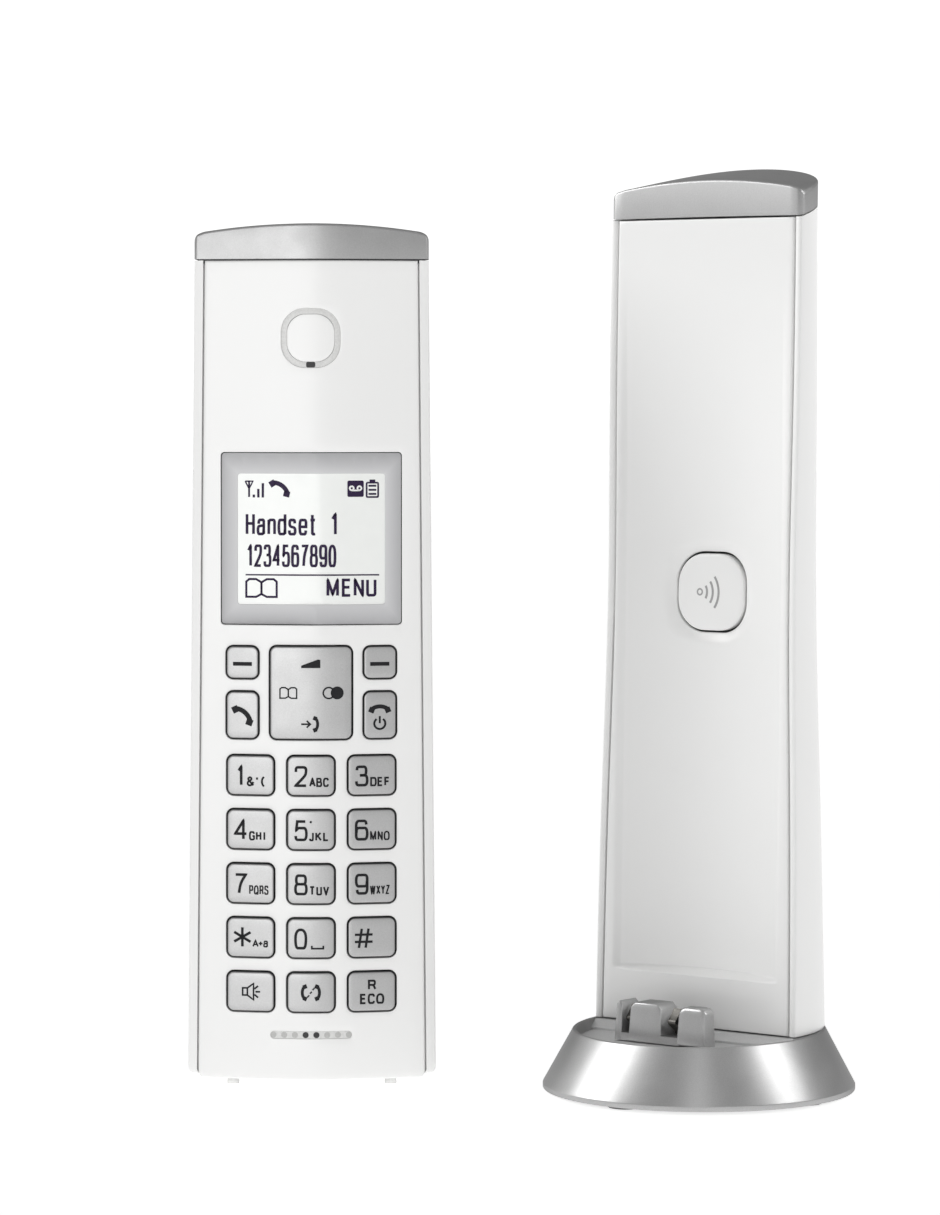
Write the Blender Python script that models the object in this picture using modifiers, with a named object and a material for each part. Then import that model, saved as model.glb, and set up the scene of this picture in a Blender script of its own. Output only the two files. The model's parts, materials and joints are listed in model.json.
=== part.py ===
"""A cordless phone: a slim handset standing beside its column-shaped charging base.

The shared frame has +Z up and the floor at z = 0; its origin lies under the middle of the whole object.
The handset faces -Y. The base is turned clockwise about its foot, so that its front also looks to the left.
Handset and column are built in their own frames, which have x to the right, y towards the back and z up.
In both, y = 0 is the flat margin on which a docked handset meets the column, and z = 0 is what it stands on.
Both lean back by the same small amount, as a shear, so everything level stays level.
"""

import math

import bmesh
import bpy
from mathutils import Matrix, Vector

MM = 0.001

# Outer shape. Heights run from the standing plane to the underside of the cap
HANDSET_HEIGHT = 172.7 * MM
HANDSET_HALF_WIDTHS = (26.0 * MM, 24.5 * MM)  # at the bottom, and under the cap
COLUMN_HEIGHT = 167.7 * MM
COLUMN_HALF_WIDTHS = (25.2 * MM, 23.8 * MM)
LEAN = math.tan(math.radians(1.2))
STRIP = 1.9 * MM  # width of the rear cover's edge that shows beside the handset's front
COLUMN_STRIP = 1.5 * MM
SEAM = 0.3 * MM
WALL = 1.5 * MM

# Handset
FLANK_LOW = 13.5 * MM  # depth of the side wall
FLANK_HIGH = 10.5 * MM
CROWN = 4.8 * MM  # how far the middle of the front stands out from its edges
COVER_LOW = 1.3 * MM
COVER_HIGH = HANDSET_HEIGHT - SEAM
SHELL_LOW = 2.2 * MM

# The hollow in the column's front, and the handset's back that fills it
HOLLOW_HALF = 19.0 * MM
HOLLOW_SLOPE = 2.0 * MM
HOLLOW_SIDE = 1.0 * MM
HOLLOW_CROWN = 3.3 * MM
HOLLOW_LOW = 10.8 * MM
LEDGE = 1.5 * MM
HOLLOW_FULL = 100.0 * MM  # full depth up to here, then it fades
HOLLOW_HIGH = 163.0 * MM
DOCK_GAP = 0.4 * MM

# Caps
CAP_SIDE_HEIGHT = 5.5 * MM
CAP_ARCH = 2.1 * MM
CAP_CORNER = 1.8 * MM
HANDSET_CAP_SLOPES = (0.0, math.tan(math.radians(2.0)))  # rise towards the back, of its underside and top
COLUMN_CAP_SLOPES = (math.tan(math.radians(15.0)), math.tan(math.radians(9.0)))

# Keys
KEY_PITCH_X = 12.65 * MM
KEY_PITCH_Z = 11.3 * MM
KEY_ROW_HIGH = 64.95 * MM
KEY_SIZE = (9.85 * MM, 8.25 * MM)
KEY_CORNER = 1.4 * MM
KEY_PROUD = 0.6 * MM
KEY_GAP = 0.3 * MM
KEY_FLANGE = 0.6 * MM
FLANGE_FRONT = -12.3 * MM
FLANGE_BACK = -11.8 * MM
SIDE_KEY_X = 14.35 * MM
SOFT_KEY = (88.5 * MM, (6.7 * MM, 6.7 * MM))  # height of its middle, and size
CALL_KEY = (77.5 * MM, (6.7 * MM, 9.8 * MM))
NAV_KEY = (82.25 * MM, (17.1 * MM, 19.4 * MM))
PIVOT_HALVES = (2.2 * MM, 1.2 * MM)

# Display, earpiece and microphone
WINDOW_Z = 114.35 * MM
WINDOW_SIZE = (37.6 * MM, 35.8 * MM)
EARPIECE_Z = 156.2 * MM
EARPIECE_OUTER = 12.5 * MM
EARPIECE_INNER = 9.8 * MM
MIC_Z = 10.8 * MM
MIC_STRIP = (17.0 * MM, 1.6 * MM)
MIC_PITCH = 2.25 * MM

# Inner layers of the handset, from the front: mat, board
MAT = (-11.2 * MM, -10.0 * MM)
BOARD = (-9.6 * MM, -8.8 * MM)
CELL_RADIUS = 5.1 * MM
CELL_LENGTH = 44.0 * MM
CELL_Y = -3.4 * MM
CELL_LOW = 27.0 * MM
DOOR_LOW = 20.0 * MM
DOOR_HIGH = 82.0 * MM
DOOR_HALF = 16.5 * MM

# Charging: the lobed block on the deck, and the pocket under the handset that takes it
BLOCK_HALF = 10.2 * MM
BLOCK_Y = (-14.5 * MM, -8.2 * MM)  # in the foot's frame
BLOCK_HEIGHT = 7.3 * MM
SLOTS = {"left": (-7.6 * MM, 1.9 * MM), "right": (3.2 * MM, 3.4 * MM)}  # middle and width
CONTACT_WIDTH = 1.1 * MM
POCKET_CLEAR = 0.7 * MM
POCKET_HIGH = 6.6 * MM

# Foot
FOOT_RADIUS = 32.4 * MM
RIM_RADIUS = 26.3 * MM
RIM_Z = 13.6 * MM
DECK_Z = 11.2 * MM
STEP_Z = 13.2 * MM  # the column stands on this step of the deck
STEP_DROP = 1.3 * MM  # its front slopes down this far,
STEP_RUN = 2.6 * MM  # over this run
FOOT_LOW = 0.8 * MM
FOOT_STEPS = 64
COLUMN_FACE_Y = -1.3 * MM
COLUMN_X = -0.5 * MM
COLUMN_DEPTH_HIGH = 18.5 * MM
COLUMN_DEPTH_TAPER = 6.0 * MM
COLUMN_DEPTH_FLARE = 3.5 * MM
COLUMN_ROUNDNESS = 2.3
BUTTON_Z = 91.5 * MM
BUTTON_SIZE = (16.6 * MM, 15.9 * MM)
BUTTON_CORNER = 6.4 * MM

# Where the two assemblies stand
BASE_YAW = math.radians(-37.5)
SPACING = 80.7 * MM  # between the middles of the foot and the handset, across the front
BASE_X = (SPACING + HANDSET_HALF_WIDTHS[0] - FOOT_RADIUS) / 2
HANDSET_X = BASE_X - SPACING
HANDSET_Y = 23.2 * MM

SHEAR = Matrix(((1, 0, 0, 0), (0, 1, LEAN, 0), (0, 0, 1, 0), (0, 0, 0, 1)))

FINISHES = {  # colour, roughness, metallic
    "white_plastic": ((0.90, 0.90, 0.88), 0.35, 0.0),
    "silver_plastic": ((0.62, 0.62, 0.60), 0.30, 0.9),
    "key_silver": ((0.72, 0.72, 0.70), 0.35, 0.6),
    "display_lens": ((0.70, 0.70, 0.72), 0.10, 0.0),
    "light_grey_plastic": ((0.80, 0.80, 0.79), 0.40, 0.0),
    "dark_plastic": ((0.06, 0.06, 0.06), 0.50, 0.0),
    "board_green": ((0.05, 0.22, 0.10), 0.50, 0.0),
    "grey_silicone": ((0.55, 0.55, 0.54), 0.70, 0.0),
    "contact_metal": ((0.75, 0.68, 0.50), 0.25, 1.0),
    "steel": ((0.55, 0.55, 0.56), 0.35, 1.0),
    "cell_sleeve": ((0.30, 0.45, 0.30), 0.40, 0.0),
    "rubber": ((0.35, 0.35, 0.35), 0.80, 0.0),
}


# ---------------------------------------------------------------- helpers

def clear_scene():
    for obj in list(bpy.data.objects):
        bpy.data.objects.remove(obj)


def new_collection(name):
    collection = bpy.data.collections.new(name)
    bpy.context.scene.collection.children.link(collection)
    return collection


def make_material(name):
    colour, roughness, metallic = FINISHES[name]
    material = bpy.data.materials.new(name)
    material.use_nodes = True
    shader = material.node_tree.nodes["Principled BSDF"]
    shader.inputs["Base Color"].default_value = (*colour, 1.0)
    shader.inputs["Roughness"].default_value = roughness
    shader.inputs["Metallic"].default_value = metallic
    return material


def make_frame(name, location, yaw=0.0):
    frame = bpy.data.objects.new(name, None)
    PARTS.objects.link(frame)
    frame.location = location
    frame.rotation_euler.z = yaw
    return frame


def add_object(name, bm, finish=None, frame=None, leaning=True, origin=(0, 0, 0)):
    """Links a part, or a cutter where no finish is given. Its origin goes to a point of its frame."""
    bmesh.ops.recalc_face_normals(bm, faces=bm.faces)
    if leaning:
        bm.transform(SHEAR)
        origin = SHEAR @ Vector(origin)
    bm.transform(Matrix.Translation(-Vector(origin)))
    mesh = bpy.data.meshes.new(name)
    bm.to_mesh(mesh)
    bm.free()
    obj = bpy.data.objects.new(name, mesh)
    obj.parent = frame
    obj.location = origin
    if finish:
        PARTS.objects.link(obj)
        mesh.materials.append(MATERIALS[finish])
        mesh.shade_smooth()
        mesh.set_sharp_from_angle(angle=math.radians(35))
    else:
        CUTTERS.objects.link(obj)
        obj.hide_render = True
        obj.display_type = "WIRE"
    return obj


def boolean(obj, other, operation="DIFFERENCE"):
    modifier = obj.modifiers.new(f"{operation.lower()}_{other.name}", "BOOLEAN")
    modifier.operation = operation
    modifier.object = other
    modifier.solver = "EXACT"


def block(low, high, corner=0.0, segments=3, axis=1):
    """A box between two corners, with its edges along one axis rounded."""
    bm = bmesh.new()
    bmesh.ops.create_cube(bm, size=1.0)
    size = Vector(high) - Vector(low)
    bm.transform(Matrix.Translation((Vector(high) + Vector(low)) / 2) @ Matrix.Diagonal((*size, 1.0)))
    if corner:
        edges = [e for e in bm.edges if abs((e.verts[1].co - e.verts[0].co).normalized()[axis]) > 0.99]
        bmesh.ops.bevel(bm, geom=edges, offset=corner, segments=segments, profile=0.5, affect="EDGES")
    return bm


def plate(x, z, size, y_low, y_high, corner=0.0, segments=3):
    """A rounded rectangle seen from the front, between two depths."""
    half_x, half_z = size[0] / 2, size[1] / 2
    return block((x - half_x, y_low, z - half_z), (x + half_x, y_high, z + half_z), corner, segments)


def merged(*meshes):
    """Several separate bodies in one mesh, for use as one cutter."""
    whole = bmesh.new()
    for bm in meshes:
        part = bpy.data.meshes.new("part")
        bm.to_mesh(part)
        bm.free()
        whole.from_mesh(part)
        bpy.data.meshes.remove(part)
    return whole


def cylinder(centre, radius, low, high, axis="Z", segments=24):
    """A cylinder along an axis of the frame. centre gives its other two coordinates."""
    bm = bmesh.new()
    bmesh.ops.create_cone(
        bm, cap_ends=True, segments=segments, radius1=radius, radius2=radius, depth=high - low
    )
    middle = (low + high) / 2
    if axis == "Y":
        bm.transform(Matrix.Translation((centre[0], middle, centre[1])) @ Matrix.Rotation(math.pi / 2, 4, "X"))
    else:
        bm.transform(Matrix.Translation((centre[0], centre[1], middle)))
    return bm


def loft(rings):
    """A closed solid through rings of equal length, with a flat or gently curved cap on each end."""
    bm = bmesh.new()
    levels = [[bm.verts.new(point) for point in ring] for ring in rings]
    for lower, upper in zip(levels, levels[1:]):
        for i in range(len(lower)):
            j = (i + 1) % len(lower)
            bm.faces.new((lower[i], lower[j], upper[j], upper[i]))
    bm.faces.new(levels[0])
    bm.faces.new(levels[-1])
    return bm


def spread(low, high, count):
    return [low + (high - low) * i / (count - 1) for i in range(count)]


# ---------------------------------------------------------------- shared surfaces

def handset_half(z):
    low, high = HANDSET_HALF_WIDTHS
    return low + (high - low) * z / HANDSET_HEIGHT


def column_half(z):
    low, high = COLUMN_HALF_WIDTHS
    return low + (high - low) * z / COLUMN_HEIGHT


def front_half(z):
    """Half the width of the front cover, which sits between the rear cover's edges."""
    return handset_half(z) - STRIP - SEAM


def flank(z):
    return FLANK_LOW + (FLANK_HIGH - FLANK_LOW) * z / HANDSET_HEIGHT


def front_y(x, z):
    """Outer surface of the handset's front."""
    return -flank(z) - CROWN * (1 - (x / handset_half(z)) ** 2)


def front_slope(x, z):
    return 2 * CROWN * x / handset_half(z) ** 2


def hollow_share(z, lift=0.0):
    """0 outside the hollow and 1 at its full depth. lift moves the lower ledge up."""
    low = HOLLOW_LOW + lift
    if z <= HOLLOW_FULL:
        return min(1.0, max(0.0, (z - low) / LEDGE))
    t = min(1.0, (z - HOLLOW_FULL) / (HOLLOW_HIGH - HOLLOW_FULL))
    return 1 - t * t * (3 - 2 * t)


def hollow_profile(half, slope, side, crown):
    """(x, depth) across the hollow at full depth: flat margin, slope, then an arc."""
    across = spread(-half, half, 9)
    arc = [(x, side + crown * (1 - (x / half) ** 2)) for x in across]
    return [(-half - slope, 0.0), *arc, (half + slope, 0.0)]


PANEL_PROFILE = hollow_profile(HOLLOW_HALF, HOLLOW_SLOPE, HOLLOW_SIDE, HOLLOW_CROWN)
BACK_PROFILE = hollow_profile(
    HOLLOW_HALF - DOCK_GAP, HOLLOW_SLOPE - DOCK_GAP, HOLLOW_SIDE - DOCK_GAP, HOLLOW_CROWN
)
LEVELS = [HOLLOW_LOW, HOLLOW_LOW + LEDGE, *spread(HOLLOW_FULL, HOLLOW_HIGH, 7)]


def column_depth(z):
    t = 1 - z / COLUMN_HEIGHT
    return COLUMN_DEPTH_HIGH + COLUMN_DEPTH_TAPER * t + COLUMN_DEPTH_FLARE * t * t


# ---------------------------------------------------------------- handset shells

def key_places():
    """Name, middle and size of each key that only moves straight in."""
    names = ("1", "2", "3", "4", "5", "6", "7", "8", "9", "star", "0", "hash", "speaker", "intercom", "recall")
    for i, name in enumerate(names):
        row, column = divmod(i, 3)
        yield f"key_{name}", (column - 1) * KEY_PITCH_X, KEY_ROW_HIGH - row * KEY_PITCH_Z, KEY_SIZE
    for side, soft, call in ((-1, "soft_left", "talk"), (1, "soft_right", "off")):
        yield f"key_{soft}", side * SIDE_KEY_X, *SOFT_KEY
        yield f"key_{call}", side * SIDE_KEY_X, *CALL_KEY


def grown(size, by):
    return size[0] + 2 * by, size[1] + 2 * by


def front_cover():
    across = 13

    def ring(z):
        xs = spread(-front_half(z), front_half(z), across)
        outer = [(x, front_y(x, z), z) for x in xs]
        inner = [(x, front_y(x, z) + WALL, z) for x in reversed(xs)]
        return outer + inner

    cover = add_object(
        "handset_front_cover", loft([ring(COVER_LOW), ring(COVER_HIGH)]), "white_plastic", HANDSET
    )
    reach = (-30 * MM, -5 * MM)
    holes = [plate(x, z, grown(size, KEY_GAP), *reach, KEY_CORNER + KEY_GAP) for _, x, z, size in key_places()]
    z, size = NAV_KEY
    holes.append(plate(0, z, grown(size, KEY_GAP), *reach, KEY_CORNER + KEY_GAP))
    holes.append(plate(0, WINDOW_Z, grown(WINDOW_SIZE, KEY_GAP), *reach, 0.8 * MM, 2))
    holes.append(plate(0, MIC_Z, grown(MIC_STRIP, 0.15 * MM), *reach, 0.9 * MM, 4))
    boolean(cover, add_object("front_holes", merged(*holes), frame=HANDSET))
    groove_back = front_y(0, EARPIECE_Z) + 0.9 * MM
    groove = add_object(
        "ring_groove",
        plate(0, EARPIECE_Z, (EARPIECE_OUTER, EARPIECE_OUTER), -30 * MM, groove_back, 4.8 * MM, 5),
        frame=HANDSET,
    )
    island = add_object(
        "ring_island",
        plate(0, EARPIECE_Z, (EARPIECE_INNER, EARPIECE_INNER), -31 * MM, -5 * MM, 3.7 * MM, 5),
        frame=HANDSET,
    )
    boolean(groove, island)
    boolean(cover, groove)
    slot_z = EARPIECE_Z - (EARPIECE_OUTER + EARPIECE_INNER) / 4
    slot = plate(0, slot_z, (1.9 * MM, 1.0 * MM), -30 * MM, -5 * MM)
    boolean(cover, add_object("earpiece_slot", slot, frame=HANDSET))


def rear_cover():
    def ring(z):
        w, share = handset_half(z), hollow_share(z, lift=0.7 * MM)
        edge = w - STRIP
        front = -flank(z) - CROWN * (1 - (edge / w) ** 2)
        round_off = 1.0 * MM
        back = [(x, share * depth, z) for x, depth in BACK_PROFILE]
        inner = [(0.985 * x, share * depth - WALL, z) for x, depth in reversed(BACK_PROFILE)]
        left = [(-edge, front, z), (-w + 0.4 * MM, -flank(z) - 0.1 * MM, z), (-w, -flank(z) + 0.4 * MM, z)]
        left += [(-w, -round_off, z), (-w + 0.3 * round_off, -0.3 * round_off, z), (-w + round_off, 0, z)]
        right = [(-x, y, z) for x, y, z in reversed(left)]
        return left + back + right + [(edge, -WALL, z)] + inner + [(-edge, -WALL, z)]

    levels = [SHELL_LOW, *[z + 0.7 * MM if z < HOLLOW_FULL else z for z in LEVELS], COVER_HIGH]
    cover = add_object("handset_rear_cover", loft([ring(z) for z in levels]), "white_plastic", HANDSET)

    def floor_ring(z):
        xs = spread(-handset_half(z) + STRIP - 0.5 * MM, handset_half(z) - STRIP + 0.5 * MM, 9)
        inner_half = front_half(z)
        front = [(x, front_y(min(inner_half, max(-inner_half, x)), z) + WALL + SEAM, z) for x in xs]
        return front + [(xs[-1], -0.8 * MM, z), (xs[0], -0.8 * MM, z)]

    floor = loft([floor_ring(SHELL_LOW), floor_ring(SHELL_LOW + WALL)])
    boolean(cover, add_object("rear_floor", floor, frame=HANDSET), "UNION")
    y_low, y_high = pocket_depths()
    half = BLOCK_HALF + POCKET_CLEAR
    wall = 1.1 * MM
    housing = block(
        (-half - wall, y_low - wall, SHELL_LOW + 0.2 * MM), (half + wall, y_high + wall, POCKET_HIGH + wall)
    )
    boolean(cover, add_object("pocket_housing", housing, frame=HANDSET), "UNION")
    nubs = [
        block((x - 1.3 * MM, y - 1.3 * MM, 0), (x + 1.3 * MM, y + 1.3 * MM, SHELL_LOW + 0.5 * MM))
        for x in (-16.5 * MM, 16.5 * MM)
        for y in (-12.5 * MM, -3.0 * MM)
    ]
    boolean(cover, add_object("standing_nubs", merged(*nubs), frame=HANDSET), "UNION")
    pocket = block((-half, y_low, -5 * MM), (half, y_high, POCKET_HIGH))
    boolean(cover, add_object("charging_pocket", pocket, frame=HANDSET))
    door_z, door_size = (DOOR_LOW + DOOR_HIGH) / 2, (2 * DOOR_HALF, DOOR_HIGH - DOOR_LOW)
    opening = plate(0, door_z, grown(door_size, SEAM), -3 * MM, 6 * MM)
    boolean(cover, add_object("battery_opening", opening, frame=HANDSET))
    grille = [plate(0, z * MM, (11 * MM, 1.2 * MM), -3 * MM, 6 * MM, 0.55 * MM, 2) for z in (126, 129, 132, 135)]
    boolean(cover, add_object("speaker_slots", merged(*grille), frame=HANDSET))
    contacts = [
        block((x - 1.5 * MM, y_low + 1 * MM, POCKET_HIGH - MM), (x + 1.5 * MM, y_high - 1 * MM, POCKET_HIGH + 3 * MM))
        for x, _ in SLOTS.values()
    ]
    boolean(cover, add_object("contact_openings", merged(*contacts), frame=HANDSET))


def pocket_depths():
    """The charging pocket's front and back, in the handset's frame."""
    shift = -COLUMN_FACE_Y + DOCK_GAP
    return BLOCK_Y[0] + shift - POCKET_CLEAR, BLOCK_Y[1] + shift + POCKET_CLEAR


def battery_door():
    def ring(z):
        xs = spread(-DOOR_HALF, DOOR_HALF, 9)
        half, side = HOLLOW_HALF - DOCK_GAP, HOLLOW_SIDE - DOCK_GAP
        outer = [(x, side + HOLLOW_CROWN * (1 - (x / half) ** 2), z) for x in xs]
        return outer + [(x, y - 1.0 * MM, z) for x, y, z in reversed(outer)]

    # The door is a flush panel that unclips straight backwards
    add_object(
        "battery_door",
        loft([ring(DOOR_LOW), ring(DOOR_HIGH)]),
        "white_plastic",
        HANDSET,
        origin=(0, 0, (DOOR_LOW + DOOR_HIGH) / 2),
    )


def arch_ring(half, low, side_height, arch, y, slopes):
    """The cap's outline seen from the front at one depth: flat below, arched above, rounded corners."""
    corner = CAP_CORNER
    points = [(-half, y, low + slopes[0] * y), (half, y, low + slopes[0] * y)]
    top = low + side_height + slopes[1] * y
    for angle in (0, 30, 60, 90):
        a = math.radians(angle)
        points.append((half - corner + corner * math.cos(a), y, top - corner + corner * math.sin(a)))
    for x in spread(half - corner, corner - half, 13)[1:-1]:
        points.append((x, y, top + arch * (1 - (x / (half - corner)) ** 2)))
    for angle in (90, 120, 150, 180):
        a = math.radians(angle)
        points.append((corner - half + corner * math.cos(a), y, top - corner + corner * math.sin(a)))
    return points


def handset_cap():
    half = handset_half(HANDSET_HEIGHT)
    xs = spread(-half, half, 17)
    z_low, z_high = HANDSET_HEIGHT - 5 * MM, HANDSET_HEIGHT + 20 * MM

    def ring(z):
        return [(x, front_y(x, HANDSET_HEIGHT), z) for x in xs] + [(half, 0, z), (-half, 0, z)]

    cap = add_object("handset_cap", loft([ring(z_low), ring(z_high)]), "silver_plastic", HANDSET)
    reach = (-30 * MM, 10 * MM)
    rings = [
        arch_ring(half, HANDSET_HEIGHT, CAP_SIDE_HEIGHT, CAP_ARCH, y, HANDSET_CAP_SLOPES) for y in reach
    ]
    boolean(cap, add_object("handset_cap_arch", loft(rings), frame=HANDSET), "INTERSECT")
    inner_y = (front_y(half - 3 * MM, HANDSET_HEIGHT) + WALL, -WALL)
    inner_half = half - 3 * MM
    room = block((-inner_half, inner_y[0], HANDSET_HEIGHT - 2 * MM), (inner_half, inner_y[1], HANDSET_HEIGHT + 3.5 * MM))
    boolean(cap, add_object("handset_cap_room", room, frame=HANDSET))


# ---------------------------------------------------------------- handset keys and inner pieces

def make_key(name, x, z, size, corner=KEY_CORNER, finish="key_silver", flange=KEY_FLANGE):
    """A key with a flange behind the cover. Its face lies in the plane that touches the front there."""
    bm = plate(x, z, grown(size, flange), FLANGE_FRONT, FLANGE_BACK, corner + flange)
    face = min(bm.faces, key=lambda f: f.normal.y)
    bmesh.ops.inset_region(bm, faces=[face], thickness=flange, use_even_offset=True)
    raised = bmesh.ops.extrude_discrete_faces(bm, faces=[face])["faces"][0]
    taper = (FLANK_LOW - FLANK_HIGH) / HANDSET_HEIGHT
    for vert in raised.verts:
        across, up = vert.co.x - x, vert.co.z - z
        vert.co.y = front_y(x, z) + front_slope(x, z) * across + taper * up - KEY_PROUD
    bmesh.ops.bevel(bm, geom=list(raised.edges), offset=0.3 * MM, segments=1, affect="EDGES")
    return add_object(name, bm, finish, HANDSET, origin=(x, FLANGE_BACK, z))


def keys():
    for name, x, z, size in key_places():
        make_key(name, x, z, size)
    z, size = NAV_KEY
    make_key("key_navigation", 0, z, size)
    half_x, half_z = PIVOT_HALVES
    pivot = block((-half_x, FLANGE_BACK + SEAM, z - half_z), (half_x, MAT[1], z + half_z), 0.4 * MM, 2)
    add_object("navigation_pivot", pivot, "dark_plastic", HANDSET, origin=(0, FLANGE_BACK, z))


def display():
    """The lens has two flat faces that meet in a shallow ridge down the middle."""
    z_low, z_high = WINDOW_Z - WINDOW_SIZE[1] / 2, WINDOW_Z + WINDOW_SIZE[1] / 2
    half = WINDOW_SIZE[0] / 2

    def ring(z):
        ridge, edge = front_y(0, z), front_y(half, z)
        outer = [(-half, edge, z), (0, ridge, z), (half, edge, z)]
        return outer + [(x, y + 1.3 * MM, z) for x, y, z in reversed(outer)]

    add_object("display_window", loft([ring(z_low), ring(z_high)]), "display_lens", HANDSET)
    module = plate(0, WINDOW_Z, (33.0 * MM, 30.0 * MM), -11.7 * MM, BOARD[0] - SEAM)
    add_object("lcd_module", module, "light_grey_plastic", HANDSET)


def earpiece():
    front = front_y(0, EARPIECE_Z)
    size = (EARPIECE_OUTER - 0.3 * MM,) * 2
    ring = add_object(
        "earpiece_ring",
        plate(0, EARPIECE_Z, size, front + 0.15 * MM, front + 0.6 * MM, 4.65 * MM, 5),
        "light_grey_plastic",
        HANDSET,
    )
    inner = plate(0, EARPIECE_Z, (EARPIECE_INNER + 0.3 * MM,) * 2, -30 * MM, -5 * MM, 3.85 * MM, 5)
    boolean(ring, add_object("ring_middle", inner, frame=HANDSET))
    slot_z = EARPIECE_Z - (EARPIECE_OUTER + EARPIECE_INNER) / 4
    notch = plate(0, slot_z, (2.3 * MM, 3.0 * MM), -30 * MM, -5 * MM)
    boolean(ring, add_object("ring_notch", notch, frame=HANDSET))
    radius = 7.0 * MM
    back = front_y(radius, EARPIECE_Z + radius) + WALL + SEAM
    speaker = cylinder((0, EARPIECE_Z), radius, back, back + 3.0 * MM, "Y")
    add_object("earpiece_speaker", speaker, "dark_plastic", HANDSET)


def microphone():
    front = front_y(0, MIC_Z)
    strip = add_object(
        "microphone_strip",
        plate(0, MIC_Z, MIC_STRIP, front + 0.45 * MM, front + WALL, 0.75 * MM, 4),
        "light_grey_plastic",
        HANDSET,
    )
    holes = [cylinder((side * MIC_PITCH / 2, MIC_Z), 0.5 * MM, -30 * MM, -5 * MM, "Y", 12) for side in (-1, 1)]
    boolean(strip, add_object("microphone_holes", merged(*holes), frame=HANDSET))
    back = front + WALL + SEAM
    capsule = cylinder((0, MIC_Z + 1.9 * MM), 2.0 * MM, back, back + 1.0 * MM, "Y", 16)
    add_object("microphone", capsule, "steel", HANDSET)


def inner_pieces():
    mat = block((-20 * MM, MAT[0], 13.5 * MM), (20 * MM, MAT[1], 93 * MM))
    mat = add_object("keypad_mat", mat, "grey_silicone", HANDSET)
    half_x, half_z = (half + SEAM for half in PIVOT_HALVES)
    z = NAV_KEY[0]
    pivot_hole = block((-half_x, MAT[0] - MM, z - half_z), (half_x, MAT[1] + MM, z + half_z))
    boolean(mat, add_object("pivot_hole", pivot_hole, frame=HANDSET))
    board = block((-20.5 * MM, BOARD[0], 12.5 * MM), (20.5 * MM, BOARD[1], 146.5 * MM))
    add_object("handset_circuit_board", board, "board_green", HANDSET)
    for side, name in ((-1, "left"), (1, "right")):
        cell = cylinder((side * 5.5 * MM, CELL_Y), CELL_RADIUS, CELL_LOW, CELL_LOW + CELL_LENGTH)
        add_object(f"battery_cell_{name}", cell, "cell_sleeve", HANDSET)
    loudspeaker = cylinder((0, 130.5 * MM), 8.5 * MM, -7.5 * MM, -3.0 * MM, "Y")
    add_object("loudspeaker", loudspeaker, "dark_plastic", HANDSET)
    y_low, y_high = pocket_depths()
    for name, (x, _) in SLOTS.items():
        low = (x - 1.2 * MM, y_low + 1.3 * MM, POCKET_HIGH + 0.1 * MM)
        high = (x + 1.2 * MM, y_high - 1.3 * MM, POCKET_HIGH + 0.7 * MM)
        add_object(f"handset_contact_{name}", block(low, high), "contact_metal", HANDSET)
    for side, name in ((-1, "left"), (1, "right")):
        screw = cylinder((side * 8.0 * MM, 160.0 * MM), 1.1 * MM, -9.5 * MM, -2.4 * MM, "Y", 12)
        add_object(f"case_screw_{name}", screw, "steel", HANDSET)


# ---------------------------------------------------------------- base column

def back_points(z, half, depth, count=17):
    """Round the back of the column, from the left front edge to the right one."""
    points = []
    for angle in spread(math.pi, 0, count):
        c, s = math.cos(angle), math.sin(angle)
        power = 2 / COLUMN_ROUNDNESS
        points.append((math.copysign(abs(c) ** power, c) * half, s**power * depth, z))
    return points


def column_rear_shell():
    floor = SEAM
    levels = spread(floor, COLUMN_HEIGHT, 8)

    def ring(z):
        w, depth = column_half(z), column_depth(z)
        outer = back_points(z, w, depth)
        inner = back_points(z, w - COLUMN_STRIP, depth - WALL)
        points = outer + list(reversed(inner))
        if z == levels[-1]:  # the top edge slopes up under the cap
            points = [(x, y, z - SEAM + COLUMN_CAP_SLOPES[0] * y) for x, y, _ in points]
        return points

    add_object("column_rear_shell", loft([ring(z) for z in levels]), "white_plastic", COLUMN)


def column_front_panel():
    def ring(z):
        half, share = column_half(z) - COLUMN_STRIP - SEAM, hollow_share(z)
        middle = [(x, share * depth, z) for x, depth in PANEL_PROFILE]
        outer = [(-half, 0, z), *middle, (half, 0, z)]
        return outer + [(x, y + WALL, z) for x, y, z in reversed(outer)]

    levels = [SEAM, *LEVELS, COLUMN_HEIGHT - SEAM]
    panel = add_object("column_front_panel", loft([ring(z) for z in levels]), "white_plastic", COLUMN)
    hole = plate(0, BUTTON_Z, grown(BUTTON_SIZE, 0.35 * MM), -5 * MM, 12 * MM, BUTTON_CORNER, 6)
    boolean(panel, add_object("button_hole", hole, frame=COLUMN))


def column_cap():
    half, depth = column_half(COLUMN_HEIGHT), column_depth(COLUMN_HEIGHT)
    levels = (COLUMN_HEIGHT - 5 * MM, COLUMN_HEIGHT + 25 * MM)
    cap = add_object(
        "column_cap", loft([back_points(z, half, depth, 25) for z in levels]), "silver_plastic", COLUMN
    )
    reach = (-5 * MM, 30 * MM)
    rings = [arch_ring(half, COLUMN_HEIGHT, CAP_SIDE_HEIGHT, CAP_ARCH, y, COLUMN_CAP_SLOPES) for y in reach]
    boolean(cap, add_object("column_cap_arch", loft(rings), frame=COLUMN), "INTERSECT")
    rings = [
        arch_ring(half - 4 * MM, COLUMN_HEIGHT - 3 * MM, CAP_SIDE_HEIGHT + 1.5 * MM, 1 * MM, y, COLUMN_CAP_SLOPES)
        for y in (1.5 * MM, 10 * MM)
    ]
    boolean(cap, add_object("column_cap_room", loft(rings), frame=COLUMN))


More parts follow.
